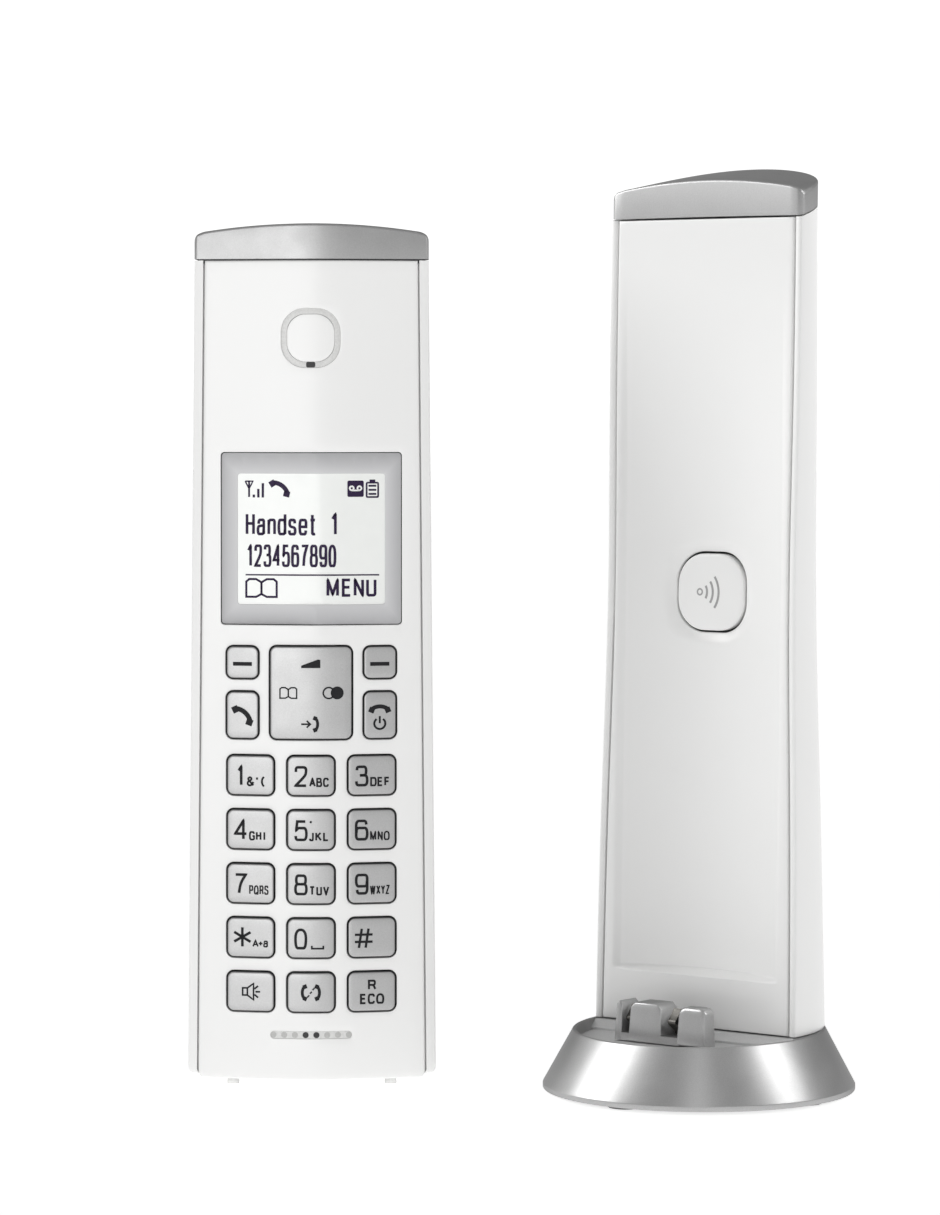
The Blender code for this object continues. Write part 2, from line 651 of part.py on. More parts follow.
def locator_button():
    """A wide soft-cornered button at the bottom of the hollow, with a flange and a plunger behind it."""
    depth = HOLLOW_SIDE + HOLLOW_CROWN
    back = depth + WALL + 1.0 * MM
    bm = plate(0, BUTTON_Z, grown(BUTTON_SIZE, 0.9 * MM), back - 0.7 * MM, back, BUTTON_CORNER + 0.7 * MM, 6)
    face = min(bm.faces, key=lambda f: f.normal.y)
    bmesh.ops.inset_region(bm, faces=[face], thickness=0.9 * MM, use_even_offset=True)
    raised = bmesh.ops.extrude_discrete_faces(bm, faces=[face])["faces"][0]
    for vert in raised.verts:
        vert.co.y = depth - 0.9 * MM
    bmesh.ops.bevel(bm, geom=list(raised.edges), offset=0.4 * MM, segments=1, affect="EDGES")
    button = add_object("locator_button", bm, "white_plastic", COLUMN, origin=(0, back, BUTTON_Z))
    plunger = cylinder((0, BUTTON_Z), 1.5 * MM, back - 0.3 * MM, back + 1.0 * MM, "Y", 16)
    boolean(button, add_object("button_plunger", plunger, frame=COLUMN), "UNION")


def column_inner_pieces():
    board_y = 11.0 * MM
    board = block((-17 * MM, board_y, 6 * MM), (17 * MM, board_y + 1.2 * MM, 150 * MM))
    add_object("base_circuit_board", board, "board_green", COLUMN)
    switch = plate(0, BUTTON_Z, (6 * MM, 6 * MM), board_y - 2.3 * MM, board_y - SEAM)
    add_object("locator_switch", switch, "dark_plastic", COLUMN)


# ---------------------------------------------------------------- foot

def foot_shell():
    profile = [
        (0, DECK_Z),
        (RIM_RADIUS - 1.3 * MM, DECK_Z),
        (RIM_RADIUS - 0.8 * MM, RIM_Z),
        (RIM_RADIUS, RIM_Z),
        (FOOT_RADIUS - 0.15 * MM, FOOT_LOW + 1.3 * MM),
        (FOOT_RADIUS, FOOT_LOW + 1.0 * MM),
        (FOOT_RADIUS, FOOT_LOW),
        (FOOT_RADIUS - 1.6 * MM, FOOT_LOW),
        (RIM_RADIUS - 0.4 * MM, DECK_Z - WALL),
        (0, DECK_Z - WALL),
    ]
    mesh = bpy.data.meshes.new("foot_shell")
    mesh.from_pydata([(r, 0, z) for r, z in profile], [(i, i + 1) for i in range(len(profile) - 1)], [])
    mesh.materials.append(MATERIALS["silver_plastic"])
    foot = bpy.data.objects.new("foot_shell", mesh)
    foot.parent = FOOT
    PARTS.objects.link(foot)
    screw = foot.modifiers.new("turned", "SCREW")
    screw.steps = screw.render_steps = FOOT_STEPS
    screw.use_merge_vertices = True
    screw.merge_threshold = 0.00001

    def footprint(z, grow, front):
        points = back_points(z, column_half(0) + grow, column_depth(0) + grow)
        return [(x + COLUMN_X, (y if y > 0.01 * MM else front) + COLUMN_FACE_Y, z) for x, y, z in points]

    step = [
        footprint(DECK_Z - 0.5 * MM, -0.3 * MM, -STEP_RUN),
        footprint(STEP_Z - STEP_DROP, -0.3 * MM, -STEP_RUN),
        footprint(STEP_Z, -0.3 * MM, -0.1 * MM),
    ]
    boolean(foot, add_object("deck_step", loft(step), frame=FOOT, leaning=False), "UNION")
    seat = [footprint(z, SEAM, -SEAM) for z in (STEP_Z + 0.05 * MM, RIM_Z + 5 * MM)]
    boolean(foot, add_object("column_seat", loft(seat), frame=FOOT, leaning=False))
    for low, high in (jack_box("power"), jack_box("line")):
        gap = Vector((SEAM, 0, SEAM))
        opening = block(Vector(low) - gap, Vector(high) + gap + Vector((0, 20 * MM, 0)))
        boolean(foot, add_object("jack_opening", opening, frame=FOOT, leaning=False))


def jack_box(name):
    """Outer corners of a jack's body. Both open to the back."""
    x_low, x_high = {"power": (-13.0 * MM, -5.0 * MM), "line": (-1.0 * MM, 12.0 * MM)}[name]
    return (x_low, 13.0 * MM, 2.5 * MM), (x_high, 25.0 * MM, 9.1 * MM)


def jacks():
    low, high = jack_box("line")
    body = add_object("line_jack", block(low, high), "dark_plastic", FOOT, leaning=False)
    inset = Vector((1.4 * MM, 2.0 * MM, 0.8 * MM))
    mouth = block(Vector(low) + inset, Vector(high) - inset + Vector((0, 12 * MM, 0)))
    boolean(body, add_object("line_jack_mouth", mouth, frame=FOOT, leaning=False))
    low, high = jack_box("power")
    body = add_object("power_jack", block(low, high), "dark_plastic", FOOT, leaning=False)
    centre = ((low[0] + high[0]) / 2, (low[2] + high[2]) / 2)
    barrel = add_object(
        "power_jack_barrel", cylinder(centre, 2.8 * MM, 15 * MM, 40 * MM, "Y", 20), frame=FOOT, leaning=False
    )
    pin = add_object(
        "power_jack_pin", cylinder(centre, 0.8 * MM, 10 * MM, 24 * MM, "Y", 10), frame=FOOT, leaning=False
    )
    boolean(barrel, pin)
    boolean(body, barrel)


def foot_inner_pieces():
    def disc(name, radius, low, high, finish, hole=None):
        made = add_object(name, cylinder((0, 0), radius, low, high, segments=48), finish, FOOT, leaning=False)
        if hole:
            boolean(made, hole)

    disc("bottom_plate", 29.2 * MM, FOOT_LOW, FOOT_LOW + 1.4 * MM, "dark_plastic")
    jack_room = block((-14 * MM, 12.5 * MM, 1 * MM), (13 * MM, 30 * MM, 12 * MM))
    disc(
        "ballast_plate",
        21.0 * MM,
        FOOT_LOW + 1.8 * MM,
        FOOT_LOW + 6.0 * MM,
        "steel",
        add_object("jack_room", jack_room, frame=FOOT, leaning=False),
    )
    for i, angle in enumerate((270, 0, 90, 180), start=1):
        a = math.radians(angle)
        centre = (26.2 * MM * math.cos(a), 26.2 * MM * math.sin(a))
        pad = cylinder(centre, 3.6 * MM, 0, FOOT_LOW - 0.2 * MM, segments=20)
        add_object(f"rubber_foot_{i}", pad, "rubber", FOOT, leaning=False)
    for side, name in ((-1, "left"), (1, "right")):
        screw = cylinder((side * 20.8 * MM, -8.0 * MM), 1.3 * MM, FOOT_LOW + 1.6 * MM, 9.2 * MM, segments=12)
        add_object(f"foot_screw_{name}", screw, "steel", FOOT, leaning=False)


def charging_cradle():
    """A low block with two slots. Its top is chamfered front and back, and its sides draw in upwards."""
    y_low, y_high = BLOCK_Y
    low, high = DECK_Z + SEAM, DECK_Z + BLOCK_HEIGHT
    chamfer = 1.6 * MM

    def ring(x):
        return [
            (x, y_low, low),
            (x, y_low + 0.3 * MM, high - 0.6 * MM),
            (x, y_low + 0.9 * MM, high),
            (x, y_high - chamfer, high),
            (x, y_high - 0.2 * MM, high - chamfer),
            (x, y_high, low),
        ]

    def drawn_in(points, step):
        return [(x + step * (z - low) / (high - low), y, z) for x, y, z in points]

    rings = [drawn_in(ring(-BLOCK_HALF), 0.8 * MM), drawn_in(ring(BLOCK_HALF), -0.8 * MM)]
    cradle = add_object("charging_cradle", loft(rings), "silver_plastic", FOOT, leaning=False)
    floor = low + 1.5 * MM
    slots = [
        block((x - width / 2, y_low - 5 * MM, floor), (x + width / 2, y_high - 2.2 * MM, high + 5 * MM))
        for x, width in SLOTS.values()
    ]
    boolean(cradle, add_object("contact_slots", merged(*slots), frame=FOOT, leaning=False))
    for name, (x, _) in SLOTS.items():
        half = CONTACT_WIDTH / 2
        contact = block((x - half, y_low + 2.0 * MM, floor + SEAM), (x + half, y_low + 2.5 * MM, high - 1.0 * MM))
        add_object(
            f"charge_contact_{name}",
            contact,
            "contact_metal",
            FOOT,
            leaning=False,
            origin=(x, y_low + 2.0 * MM, floor),
        )


clear_scene()
PARTS = new_collection("cordless_phone")
CUTTERS = new_collection("cutters")
MATERIALS = {name: make_material(name) for name in FINISHES}
HANDSET = make_frame("handset_frame", (HANDSET_X, HANDSET_Y, 0))
FOOT = make_frame("foot_frame", (BASE_X, 0, 0), BASE_YAW)
COLUMN = make_frame("column_frame", (COLUMN_X, COLUMN_FACE_Y, STEP_Z))
COLUMN.parent = FOOT
front_cover()
rear_cover()
battery_door()
handset_cap()
keys()
display()
earpiece()
microphone()
inner_pieces()
column_rear_shell()
column_front_panel()
column_cap()
locator_button()
column_inner_pieces()
foot_shell()
jacks()
foot_inner_pieces()
charging_cradle()
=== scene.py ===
"""The looks of a cordless phone: a slim white handset beside its column-shaped charging base.

Shapes are made in millimetres, in the frames of the handset, the foot and the column, and are brought to
the shared frame last. Each of those frames has x to the right, y towards the back and z up.
"""

import json
import math

import bmesh
import bpy
from mathutils import Matrix, Vector
from mathutils.geometry import delaunay_2d_cdt


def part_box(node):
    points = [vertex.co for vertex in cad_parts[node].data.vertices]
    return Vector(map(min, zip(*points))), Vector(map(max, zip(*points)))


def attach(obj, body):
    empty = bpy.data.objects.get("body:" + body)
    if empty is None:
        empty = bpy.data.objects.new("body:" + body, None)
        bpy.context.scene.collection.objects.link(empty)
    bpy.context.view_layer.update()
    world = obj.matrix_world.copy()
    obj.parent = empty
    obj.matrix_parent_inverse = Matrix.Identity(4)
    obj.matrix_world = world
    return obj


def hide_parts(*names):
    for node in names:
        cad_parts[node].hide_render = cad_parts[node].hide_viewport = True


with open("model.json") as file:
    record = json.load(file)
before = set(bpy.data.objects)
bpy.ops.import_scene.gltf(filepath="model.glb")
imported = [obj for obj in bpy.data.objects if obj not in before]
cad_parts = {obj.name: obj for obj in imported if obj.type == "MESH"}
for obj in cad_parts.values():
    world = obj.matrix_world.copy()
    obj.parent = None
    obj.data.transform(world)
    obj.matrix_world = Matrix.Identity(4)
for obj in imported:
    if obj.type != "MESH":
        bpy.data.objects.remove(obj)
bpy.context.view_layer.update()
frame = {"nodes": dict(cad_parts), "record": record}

MM = 0.001
ROOM = 0.30  # brightness of the grey room around the objects

# ---------------------------------------------------------------- driving dimensions, in millimetres

LEAN = math.tan(math.radians(1.2))
SEAM = 0.3

HANDSET_HEIGHT = 172.7
HANDSET_HALVES = (26.0, 24.5)  # half width at the bottom, and under the cap
FLANKS = (13.5, 10.5)  # depth of the side wall at the bottom and top
CROWN = 4.6
RIDGE = 6.5  # radius-like softness of the front's middle ridge
STRIP = 1.9
COVER_LOW = 1.3
SHELL_LOW = 2.2

COLUMN_HEIGHT = 167.7
COLUMN_HALVES = (25.2, 23.8)
COLUMN_STRIP = 1.5
COLUMN_OFFSET = (-0.5, -1.3, 13.2)  # from the foot's middle
SCOOP = 0.9  # how far the finger scoops narrow the column's edges at mid height
SCOOP_MIDDLE = 88.0
SCOOP_REACH = 55.0

HOLLOW_HALF = 19.0
HOLLOW_SLOPE = 2.0
HOLLOW_SIDE = 1.0
HOLLOW_CROWN = 3.3
HOLLOW_LOW = 10.8
LEDGE = 1.2
HOLLOW_FULL = 100.0
HOLLOW_HIGH = 163.0
DOCK_GAP = 0.4
DOOR = ((-16.5, 20.0), (16.5, 82.0))  # lower left and upper right corner of the battery door

CAP_UNDER = math.radians(15.0)  # slope of the seam under the column's cap
CAP_SIDE = 5.5
CAP_ARCH = 2.1

KEY_PITCH = (12.65, 11.3)
KEY_ROW_HIGH = 64.95
KEY_SIZE = (9.85, 8.25)
KEY_CORNER = 1.4
KEY_GAP = 0.26
KEY_PROUD = 0.55
FLANGE_BACK = -11.8
SIDE_KEY_X = 14.35
SOFT_KEY = (88.5, (6.7, 6.7))
CALL_KEY = (77.5, (6.7, 9.8))
NAV_KEY = (82.25, (17.1, 19.4))

WINDOW = (114.35, (37.6, 35.8))
LCD = (114.25, (30.8, 27.3))
EARPIECE_Z = 156.2
EARPIECE = (12.4, 9.9)
MIC_Z = 10.8
MIC_STRIP = (17.0, 1.6)
MIC_PITCH = 2.25

FOOT_RADIUS = 32.4
RIM_RADIUS = 26.3
RIM_Z = 13.4
RIM_TILT = 0.02  # the rim rises towards the back
DECK_Z = 11.2
FOOT_LOW = 0.8
JACK_WIDTHS = ((-13.0, -5.0), (-1.0, 12.0))  # the power jack's sides, and the line jack's
JACK_HEIGHTS = (2.5, 9.1)
BUTTON_Z = 90.3
BUTTON_SIZE = (16.6, 15.9)
BUTTON_CORNER = 6.4
BASE_YAW = math.radians(-37.5)

MARK_STEP = 0.9  # longest straight stretch of a mark, so that it follows a curved surface
FRAME_SHADE_REACH = 4.2  # how far the painted shade on the display frame reaches: the print darkens over this distance from the glass outwards
NOISE_SPAN = (0.3, 0.7)  # the part of a noise's range that it mostly stays in


def middle(node):
    low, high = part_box(node)
    return (low + high) / 2


SHEAR = Matrix(((1, 0, 0, 0), (0, 1, LEAN, 0), (0, 0, 1, 0), (0, 0, 0, 1)))
SCALE = Matrix.Scale(MM, 4)
HANDSET_BACK = 23.2 * MM
HANDSET = Matrix.Translation((middle("handset_cap").x, HANDSET_BACK, 0)) @ SCALE @ SHEAR
FOOT_MIDDLE = middle("bottom_plate")
FOOT = Matrix.Translation((FOOT_MIDDLE.x, FOOT_MIDDLE.y, 0)) @ Matrix.Rotation(BASE_YAW, 4, "Z") @ SCALE
COLUMN = FOOT @ Matrix.Translation(COLUMN_OFFSET) @ SHEAR


BASE_BODIES = ("base", "locator_button", "charge_contact_left", "charge_contact_right")
GROUPS = {name: bpy.data.collections.new(f"{name}_pieces") for name in ("base", "handset")}


# ---------------------------------------------------------------- materials

def put(tree, kind, inputs=None, **settings):
    """A new node. Each input is given as a value, or as the output that feeds it."""
    node = tree.nodes.new(kind)
    for name, value in settings.items():
        setattr(node, name, value)
    for socket, value in (inputs or {}).items():
        if isinstance(value, bpy.types.NodeSocket):
            tree.links.new(value, node.inputs[socket])
        else:
            node.inputs[socket].default_value = value
    return node


def shader_of(material):
    return material.node_tree.nodes["Principled BSDF"]


def new_material(name, colour, roughness, metallic=0.0, coat=0.0, specular=0.5, edge=1.0):
    material = bpy.data.materials.new(name)
    material.use_nodes = True
    values = {
        "Base Color": (*colour, 1.0),
        "Roughness": roughness,
        "Metallic": metallic,
        "Coat Weight": coat,
        "Coat Roughness": 0.05,
        "Specular Tint": (edge, edge, edge, 1.0),
        "Specular IOR Level": specular,
    }
    for socket, value in values.items():
        shader_of(material).inputs[socket].default_value = value
    return material


def add_noise(material, scale, detail=2.0, stretch=(1.0, 1.0, 1.0)):
    """A noise on the object's own coordinates, optionally stretched."""
    tree = material.node_tree
    place = put(tree, "ShaderNodeTexCoord").outputs["Object"]
    place = put(tree, "ShaderNodeMapping", {"Vector": place, "Scale": stretch}).outputs["Vector"]
    return put(tree, "ShaderNodeTexNoise", {"Vector": place, "Scale": scale, "Detail": detail}).outputs["Fac"]


def feed(material, socket, output):
    material.node_tree.links.new(output, shader_of(material).inputs[socket])


def vary(material, noise, socket, low, high):
    """The noise drives a number on the shader, between two values."""
    inputs = {"Value": noise, "From Min": NOISE_SPAN[0], "From Max": NOISE_SPAN[1], "To Min": low, "To Max": high}
    feed(material, socket, put(material.node_tree, "ShaderNodeMapRange", inputs).outputs["Result"])


def tint(material, amount, dark, light, span=NOISE_SPAN):
    """An amount, such as a noise, moves the colour between two near shades."""
    ramp = put(material.node_tree, "ShaderNodeValToRGB", {"Fac": amount})
    for stop, place, colour in zip(ramp.color_ramp.elements, span, (dark, light)):
        stop.position = place
        stop.color = (*colour, 1.0)
    feed(material, "Base Color", ramp.outputs["Color"])


def roughen(material, noise, strength, distance):
    inputs = {"Height": noise, "Strength": strength, "Distance": distance}
    feed(material, "Normal", put(material.node_tree, "ShaderNodeBump", inputs).outputs["Normal"])


def gloss_white():
    """White ABS from a polished mould: a faint orange peel and slightly uneven gloss."""
    material = new_material("gloss_white_plastic", (0.86, 0.86, 0.85), 0.28)
    tint(material, add_noise(material, 90), (0.858, 0.858, 0.851), (0.864, 0.864, 0.857))
    peel = add_noise(material, 700, 0.0)
    vary(material, peel, "Roughness", 0.275, 0.29)
    roughen(material, peel, 0.02, 0.00002)
    return material


def silver_lacquer(name, shade, roughness, metallic=0.85, edge=1.0):
    """Metallic lacquer on plastic: fine flakes that change shade and gloss. edge darkens it at a glance."""
    material = new_material(name, (shade,) * 3, roughness, metallic, edge=edge)
    tint(material, add_noise(material, 5200), (shade * 0.93,) * 3, (min(1.0, shade * 1.06),) * 3)
    vary(material, add_noise(material, 240, 3.0), "Roughness", roughness - 0.03, roughness + 0.03)
    return material


def moulded(name, colour, roughness, grain=2600, strength=0.12, coat=0.0, change=0.07, specular=0.5):
    """A plain moulded or printed finish with a fine grain."""
    material = new_material(name, colour, roughness, coat=coat, specular=specular)
    noise = add_noise(material, grain, 3.0)
    tint(material, noise, [(1 - change) * c for c in colour], [min(1.0, (1 + change) * c) for c in colour])
    roughen(material, noise, strength, 0.00004)
    return material


def display_print_with_painted_shade():
    """Silver print behind the lens, with painted shade on it: darker at the frame's outer edge, paler towards the
    glass.
    """
    material = new_material("display_frame_print_painted_shade", (0.50, 0.50, 0.51), 0.42, specular=0.4)
    tree = material.node_tree

    def work_out(operation, *values):
        return put(tree, "ShaderNodeMath", dict(enumerate(values)), operation=operation).outputs["Value"]

    place = put(tree, "ShaderNodeTexCoord").outputs["Object"]
    axes = put(tree, "ShaderNodeSeparateXYZ", {"Vector": place}).outputs
    reach = []
    lcd_z, lcd_size = LCD
    for axis, centre, size in (("X", middle("handset_cap").x, lcd_size[0]), ("Z", lcd_z * MM, lcd_size[1])):
        offset = work_out("ABSOLUTE", work_out("SUBTRACT", axes[axis], centre))
        reach.append(work_out("SUBTRACT", offset, size * MM / 2))
    farthest = {"Value": work_out("MAXIMUM", *reach), "From Max": FRAME_SHADE_REACH * MM}
    span = put(tree, "ShaderNodeMapRange", farthest).outputs["Result"]
    # painted shade: the colour darkens from the glass's edge out to the frame's outer edge
    tint(material, span, (0.60, 0.60, 0.61), (0.40, 0.40, 0.41), (0.0, 1.0))
    vary(material, add_noise(material, 1800), "Roughness", 0.38, 0.46)
    return material


def brushed(name, colour, roughness, stretch):
    material = new_material(name, colour, roughness, metallic=1.0)
    noise = add_noise(material, 900, 4.0, stretch)
    vary(material, noise, "Roughness", roughness - 0.08, roughness + 0.1)
    roughen(material, noise, 0.1, 0.00003)
    return material


def circuit_green():
    """Solder mask over copper tracks."""
    material = new_material("circuit_green", (0.03, 0.16, 0.07), 0.35)
    tracks = add_noise(material, 260, 0.0, (1.0, 1.0, 3.0))
    tint(material, tracks, (0.02, 0.12, 0.05), (0.05, 0.22, 0.10))
    roughen(material, tracks, 0.2, 0.00005)
    return material


MATERIALS = {
    "white": gloss_white(),
    "silver": silver_lacquer("silver_lacquer", 0.50, 0.36, 0.8, 0.3),
    "cap_silver": silver_lacquer("cap_silver_lacquer", 0.46, 0.42, 0.7, 0.3),
    "deck_silver": silver_lacquer("deck_silver_lacquer", 0.60, 0.45, 0.25),
    "key_silver": silver_lacquer("key_silver_lacquer", 0.50, 0.42, 0.6),
    "frame_silver": display_print_with_painted_shade(),
    "lcd": moulded("display_glass", (0.87, 0.885, 0.865), 0.30, grain=300, strength=0.0, coat=0.5, change=0.01),
    "segments": moulded("display_segments", (0.024, 0.012, 0.046), 0.5, specular=0.2),
    "ink": moulded("legend_ink", (0.018, 0.018, 0.020), 0.6, specular=0.15),
    "faint_ink": moulded("grey_legend_ink", (0.34, 0.34, 0.34), 0.45),
    "faint_dot": moulded("microphone_dot", (0.47, 0.47, 0.46), 0.5),
    "light_grey": moulded("light_grey_plastic", (0.67, 0.67, 0.66), 0.42),
    "dark": moulded("dark_plastic", (0.022, 0.022, 0.023), 0.50),
    # painted shade: the key skirts, the plate behind the keys and the parts behind the locator button are black to
    # stand for the shadow in the gaps round them
    "gap": moulded("black_painted_gap_shade", (0.028, 0.028, 0.029), 0.6),
    "board": circuit_green(),
    "silicone": moulded("grey_silicone", (0.28, 0.28, 0.28), 0.75),
    "contact": brushed("contact_metal", (0.15, 0.145, 0.135), 0.42, (1.0, 1.0, 8.0)),
    "steel": brushed("turned_steel", (0.50, 0.50, 0.52), 0.32, (1.0, 1.0, 6.0)),
    "sleeve": moulded("cell_sleeve", (0.10, 0.22, 0.12), 0.35),
    "rubber": moulded("grey_rubber", (0.20, 0.20, 0.20), 0.85, grain=1500, strength=0.3),
}

SLOT_FINISHES = {
    "white_plastic": "white",
    "silver_plastic": "silver",
    "key_silver": "key_silver",
    "display_lens": "frame_silver",
    "light_grey_plastic": "light_grey",
    "dark_plastic": "dark",
    "board_green": "board",
    "grey_silicone": "silicone",
    "contact_metal": "contact",
    "steel": "steel",
    "cell_sleeve": "sleeve",
    "rubber": "rubber",
}


def finish_inner_nodes():
    """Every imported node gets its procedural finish, also those that other pieces stand for."""
    for part in frame["record"]["subparts"]:
        node = frame["nodes"][part["node"]]
        node.data.materials.clear()
        node.data.materials.append(MATERIALS[SLOT_FINISHES[part["material_slot"]]])


# ---------------------------------------------------------------- mesh helpers

def loose_object(bm, name="shape"):
    """An object in the scene from a mesh, which is used up."""
    mesh = bpy.data.meshes.new(name)
    bm.to_mesh(mesh)
    bm.free()
    obj = bpy.data.objects.new(name, mesh)
    bpy.context.scene.collection.objects.link(obj)
    return obj


def join(*meshes):
    """The meshes as one. They are used up."""
    whole = bmesh.new()
    for bm in meshes:
        part = bpy.data.meshes.new("part")
        bm.to_mesh(part)
        bm.free()
        whole.from_mesh(part)
        bpy.data.meshes.remove(part)
    return whole


def piece(name, meshes, place, body, nodes, smooth=35):
    """One object from (mesh, material) pairs in millimetres. It rides on a body and stands for nodes."""
    materials = list(dict.fromkeys(material for _, material in meshes))
    for bm, material in meshes:
        for face in bm.faces:
            face.material_index = materials.index(material)
    whole = join(*(bm for bm, _ in meshes))
    whole.transform(place)
    obj = loose_object(whole, name)
    for material in materials:
        obj.data.materials.append(MATERIALS[material])
    obj.data.shade_smooth()
    obj.data.set_sharp_from_angle(angle=math.radians(smooth))
    GROUPS["base" if body in BASE_BODIES else "handset"].objects.link(obj)
    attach(obj, body)
    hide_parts(*nodes)


def spread(low, high, count):
    return [low + (high - low) * i / (count - 1) for i in range(count)]


def arc(centre, radius, start, end, steps=5):
    """Points of an arc, from one angle in degrees to another."""
    angles = spread(math.radians(start), math.radians(end), steps + 1)
    return [(centre[0] + radius * math.cos(a), centre[1] + radius * math.sin(a)) for a in angles]


def round_loop(centre, radius, count):
    """Points evenly round a circle."""
    return arc(centre, radius, 0, 360 - 360 / count, count - 1)


def rounded_rectangle(size, corner, centre=(0, 0), steps=6, sides=6):
    """Points of a rounded rectangle, anticlockwise from the right side, with points along its sides too."""
    half_x, half_y = size[0] / 2, size[1] / 2
    corner = max(0.01, min(corner, half_x - 0.01, half_y - 0.01))
    flat_x, flat_y = half_x - corner, half_y - corner
    starts = [(half_x, flat_y), (-flat_x, half_y), (-half_x, -flat_y), (flat_x, -half_y)]
    points = []
    for quarter, (sx, sy) in enumerate(((1, 1), (-1, 1), (-1, -1), (1, -1))):
        for i in range(steps + 1):
            a = math.pi / 2 * (quarter + i / steps)
            points.append((sx * flat_x + corner * math.cos(a), sy * flat_y + corner * math.sin(a)))
        here, there = points[-1], starts[(quarter + 1) % 4]
        for k in spread(0, 1, sides + 1)[1:-1]:
            points.append((here[0] + (there[0] - here[0]) * k, here[1] + (there[1] - here[1]) * k))
    return [(centre[0] + x, centre[1] + y) for x, y in points]


def shrinking(size, corner, centre, steps=6, sides=6):
    """A rounded rectangle as a function of how far its edge is moved inwards."""
    def at(distance):
        return rounded_rectangle([s - 2 * distance for s in size], corner - distance, centre, steps, sides)

    return at


def inset(points, distance):
    """A closed outline moved inwards along its corners' normals. It runs anticlockwise."""
    moved = []
    count = len(points)
    for i, (x, y) in enumerate(points):
        before, after = Vector(points[i - 1]), Vector(points[(i + 1) % count])
        here = Vector((x, y))
        a, b = (here - before).normalized(), (after - here).normalized()
        normal = Vector((-(a.y + b.y), a.x + b.x)).normalized()
        stretch = max(0.5, normal.dot(Vector((-a.y, a.x))))
        moved.append(tuple(here + normal * distance / stretch))
    return moved


def limits(loop):
    """The loop's lowest and highest x, then its lowest and highest y."""
    xs, ys = [p[0] for p in loop], [p[1] for p in loop]
    return min(xs), max(xs), min(ys), max(ys)


def inside(point, loop):
    x, y = point
    found = False
    for i in range(len(loop)):
        (x0, y0), (x1, y1) = loop[i - 1], loop[i]
        if (y0 > y) != (y1 > y) and x < x0 + (y - y0) * (x1 - x0) / (y1 - y0):
            found = not found
    return found


def closed_loop(count, start=0):
    """The edges of a closed loop of points."""
    return [(start + i, start + (i + 1) % count) for i in range(count)]


def face_middle(verts, face):
    return sum(verts[i].x for i in face) / len(face), sum(verts[i].y for i in face) / len(face)


def bridge(bm, rings, ends=True):
    """Quads between rings of equal length, and without ends from the last to the first too. It gives the corners."""
    levels = [[bm.verts.new(point) for point in ring] for ring in rings]
    for lower, upper in zip(levels, levels[1:] if ends else levels[1:] + levels[:1]):
        for i, j in closed_loop(len(lower)):
            bm.faces.new((lower[i], lower[j], upper[j], upper[i]))
    return levels


def skin(rings, ends=True):
    """A closed solid through rings of equal length, with flat ends, or running back into the first ring."""
    bm = bmesh.new()
    levels = bridge(bm, rings, ends)
    if ends:
        bm.faces.new(tuple(reversed(levels[0])))
        bm.faces.new(levels[-1])
    bmesh.ops.recalc_face_normals(bm, faces=bm.faces)
    return bm


def two_sided(front, back, faces):
    """A closed sheet from the points of its two sides, the faces that both share, and a wall round each edge."""
    bm = bmesh.new()
    front, back = [bm.verts.new(p) for p in front], [bm.verts.new(p) for p in back]
    used = {}
    for face in faces:
        bm.faces.new([front[i] for i in face])
        bm.faces.new([back[i] for i in reversed(face)])
        for a, b in zip(face, [*face[1:], face[0]]):
            used.setdefault((min(a, b), max(a, b)), []).append((a, b))
    for pairs in used.values():
        if len(pairs) == 1:
            a, b = pairs[0]
            bm.faces.new((front[b], front[a], back[a], back[b]))
    bmesh.ops.delete(bm, geom=[v for v in bm.verts if not v.link_faces], context="VERTS")
    bmesh.ops.recalc_face_normals(bm, faces=bm.faces)
    return bm


def soft_block(outline, base, top, place, fillet=0.3, grid=(9, 9), fillet_steps=4):
    """A block over an outline: flat below, rounded round its top edge, and shaped on top by a function.

    The outline is a list of points, or a function that gives them moved inwards by a distance.
    place turns (u, v, height) into a point.
    """
    shrink = outline if callable(outline) else lambda distance: inset(outline, distance)
    rings = [[place(u, v, base) for u, v in (outline(0.0) if callable(outline) else outline)]]
    for a in spread(0, math.pi / 2, fillet_steps + 1):
        ring = shrink(fillet * (1 - math.cos(a)))
        rings.append([place(u, v, top(u, v) - fillet * (1 - math.sin(a))) for u, v in ring])
    bm = bmesh.new()
    levels = bridge(bm, rings)
    bm.faces.new(tuple(reversed(levels[0])))
    inner = shrink(fillet)
    count = len(inner)
    u_low, u_high, v_low, v_high = limits(inner)
    limit = inset(inner, min(u_high - u_low, v_high - v_low) * 0.06)
    points = [Vector(point) for point in inner]
    for u in spread(u_low, u_high, grid[0])[1:-1]:
        points += [Vector((u, v)) for v in spread(v_low, v_high, grid[1])[1:-1] if inside((u, v), limit)]
    verts, _, faces, origins, _, _ = delaunay_2d_cdt(points, closed_loop(count), [], 0, 1e-6)
    made = []
    for vert, origin in zip(verts, origins):
        on_ring = [k for k in origin if k < count]
        u, v = vert
        made.append(levels[-1][on_ring[0]] if on_ring else bm.verts.new(place(u, v, top(u, v))))
    for face in faces:
        if inside(face_middle(verts, face), inner):
            bm.faces.new([made[i] for i in face])
    bmesh.ops.recalc_face_normals(bm, faces=bm.faces)
    return bm


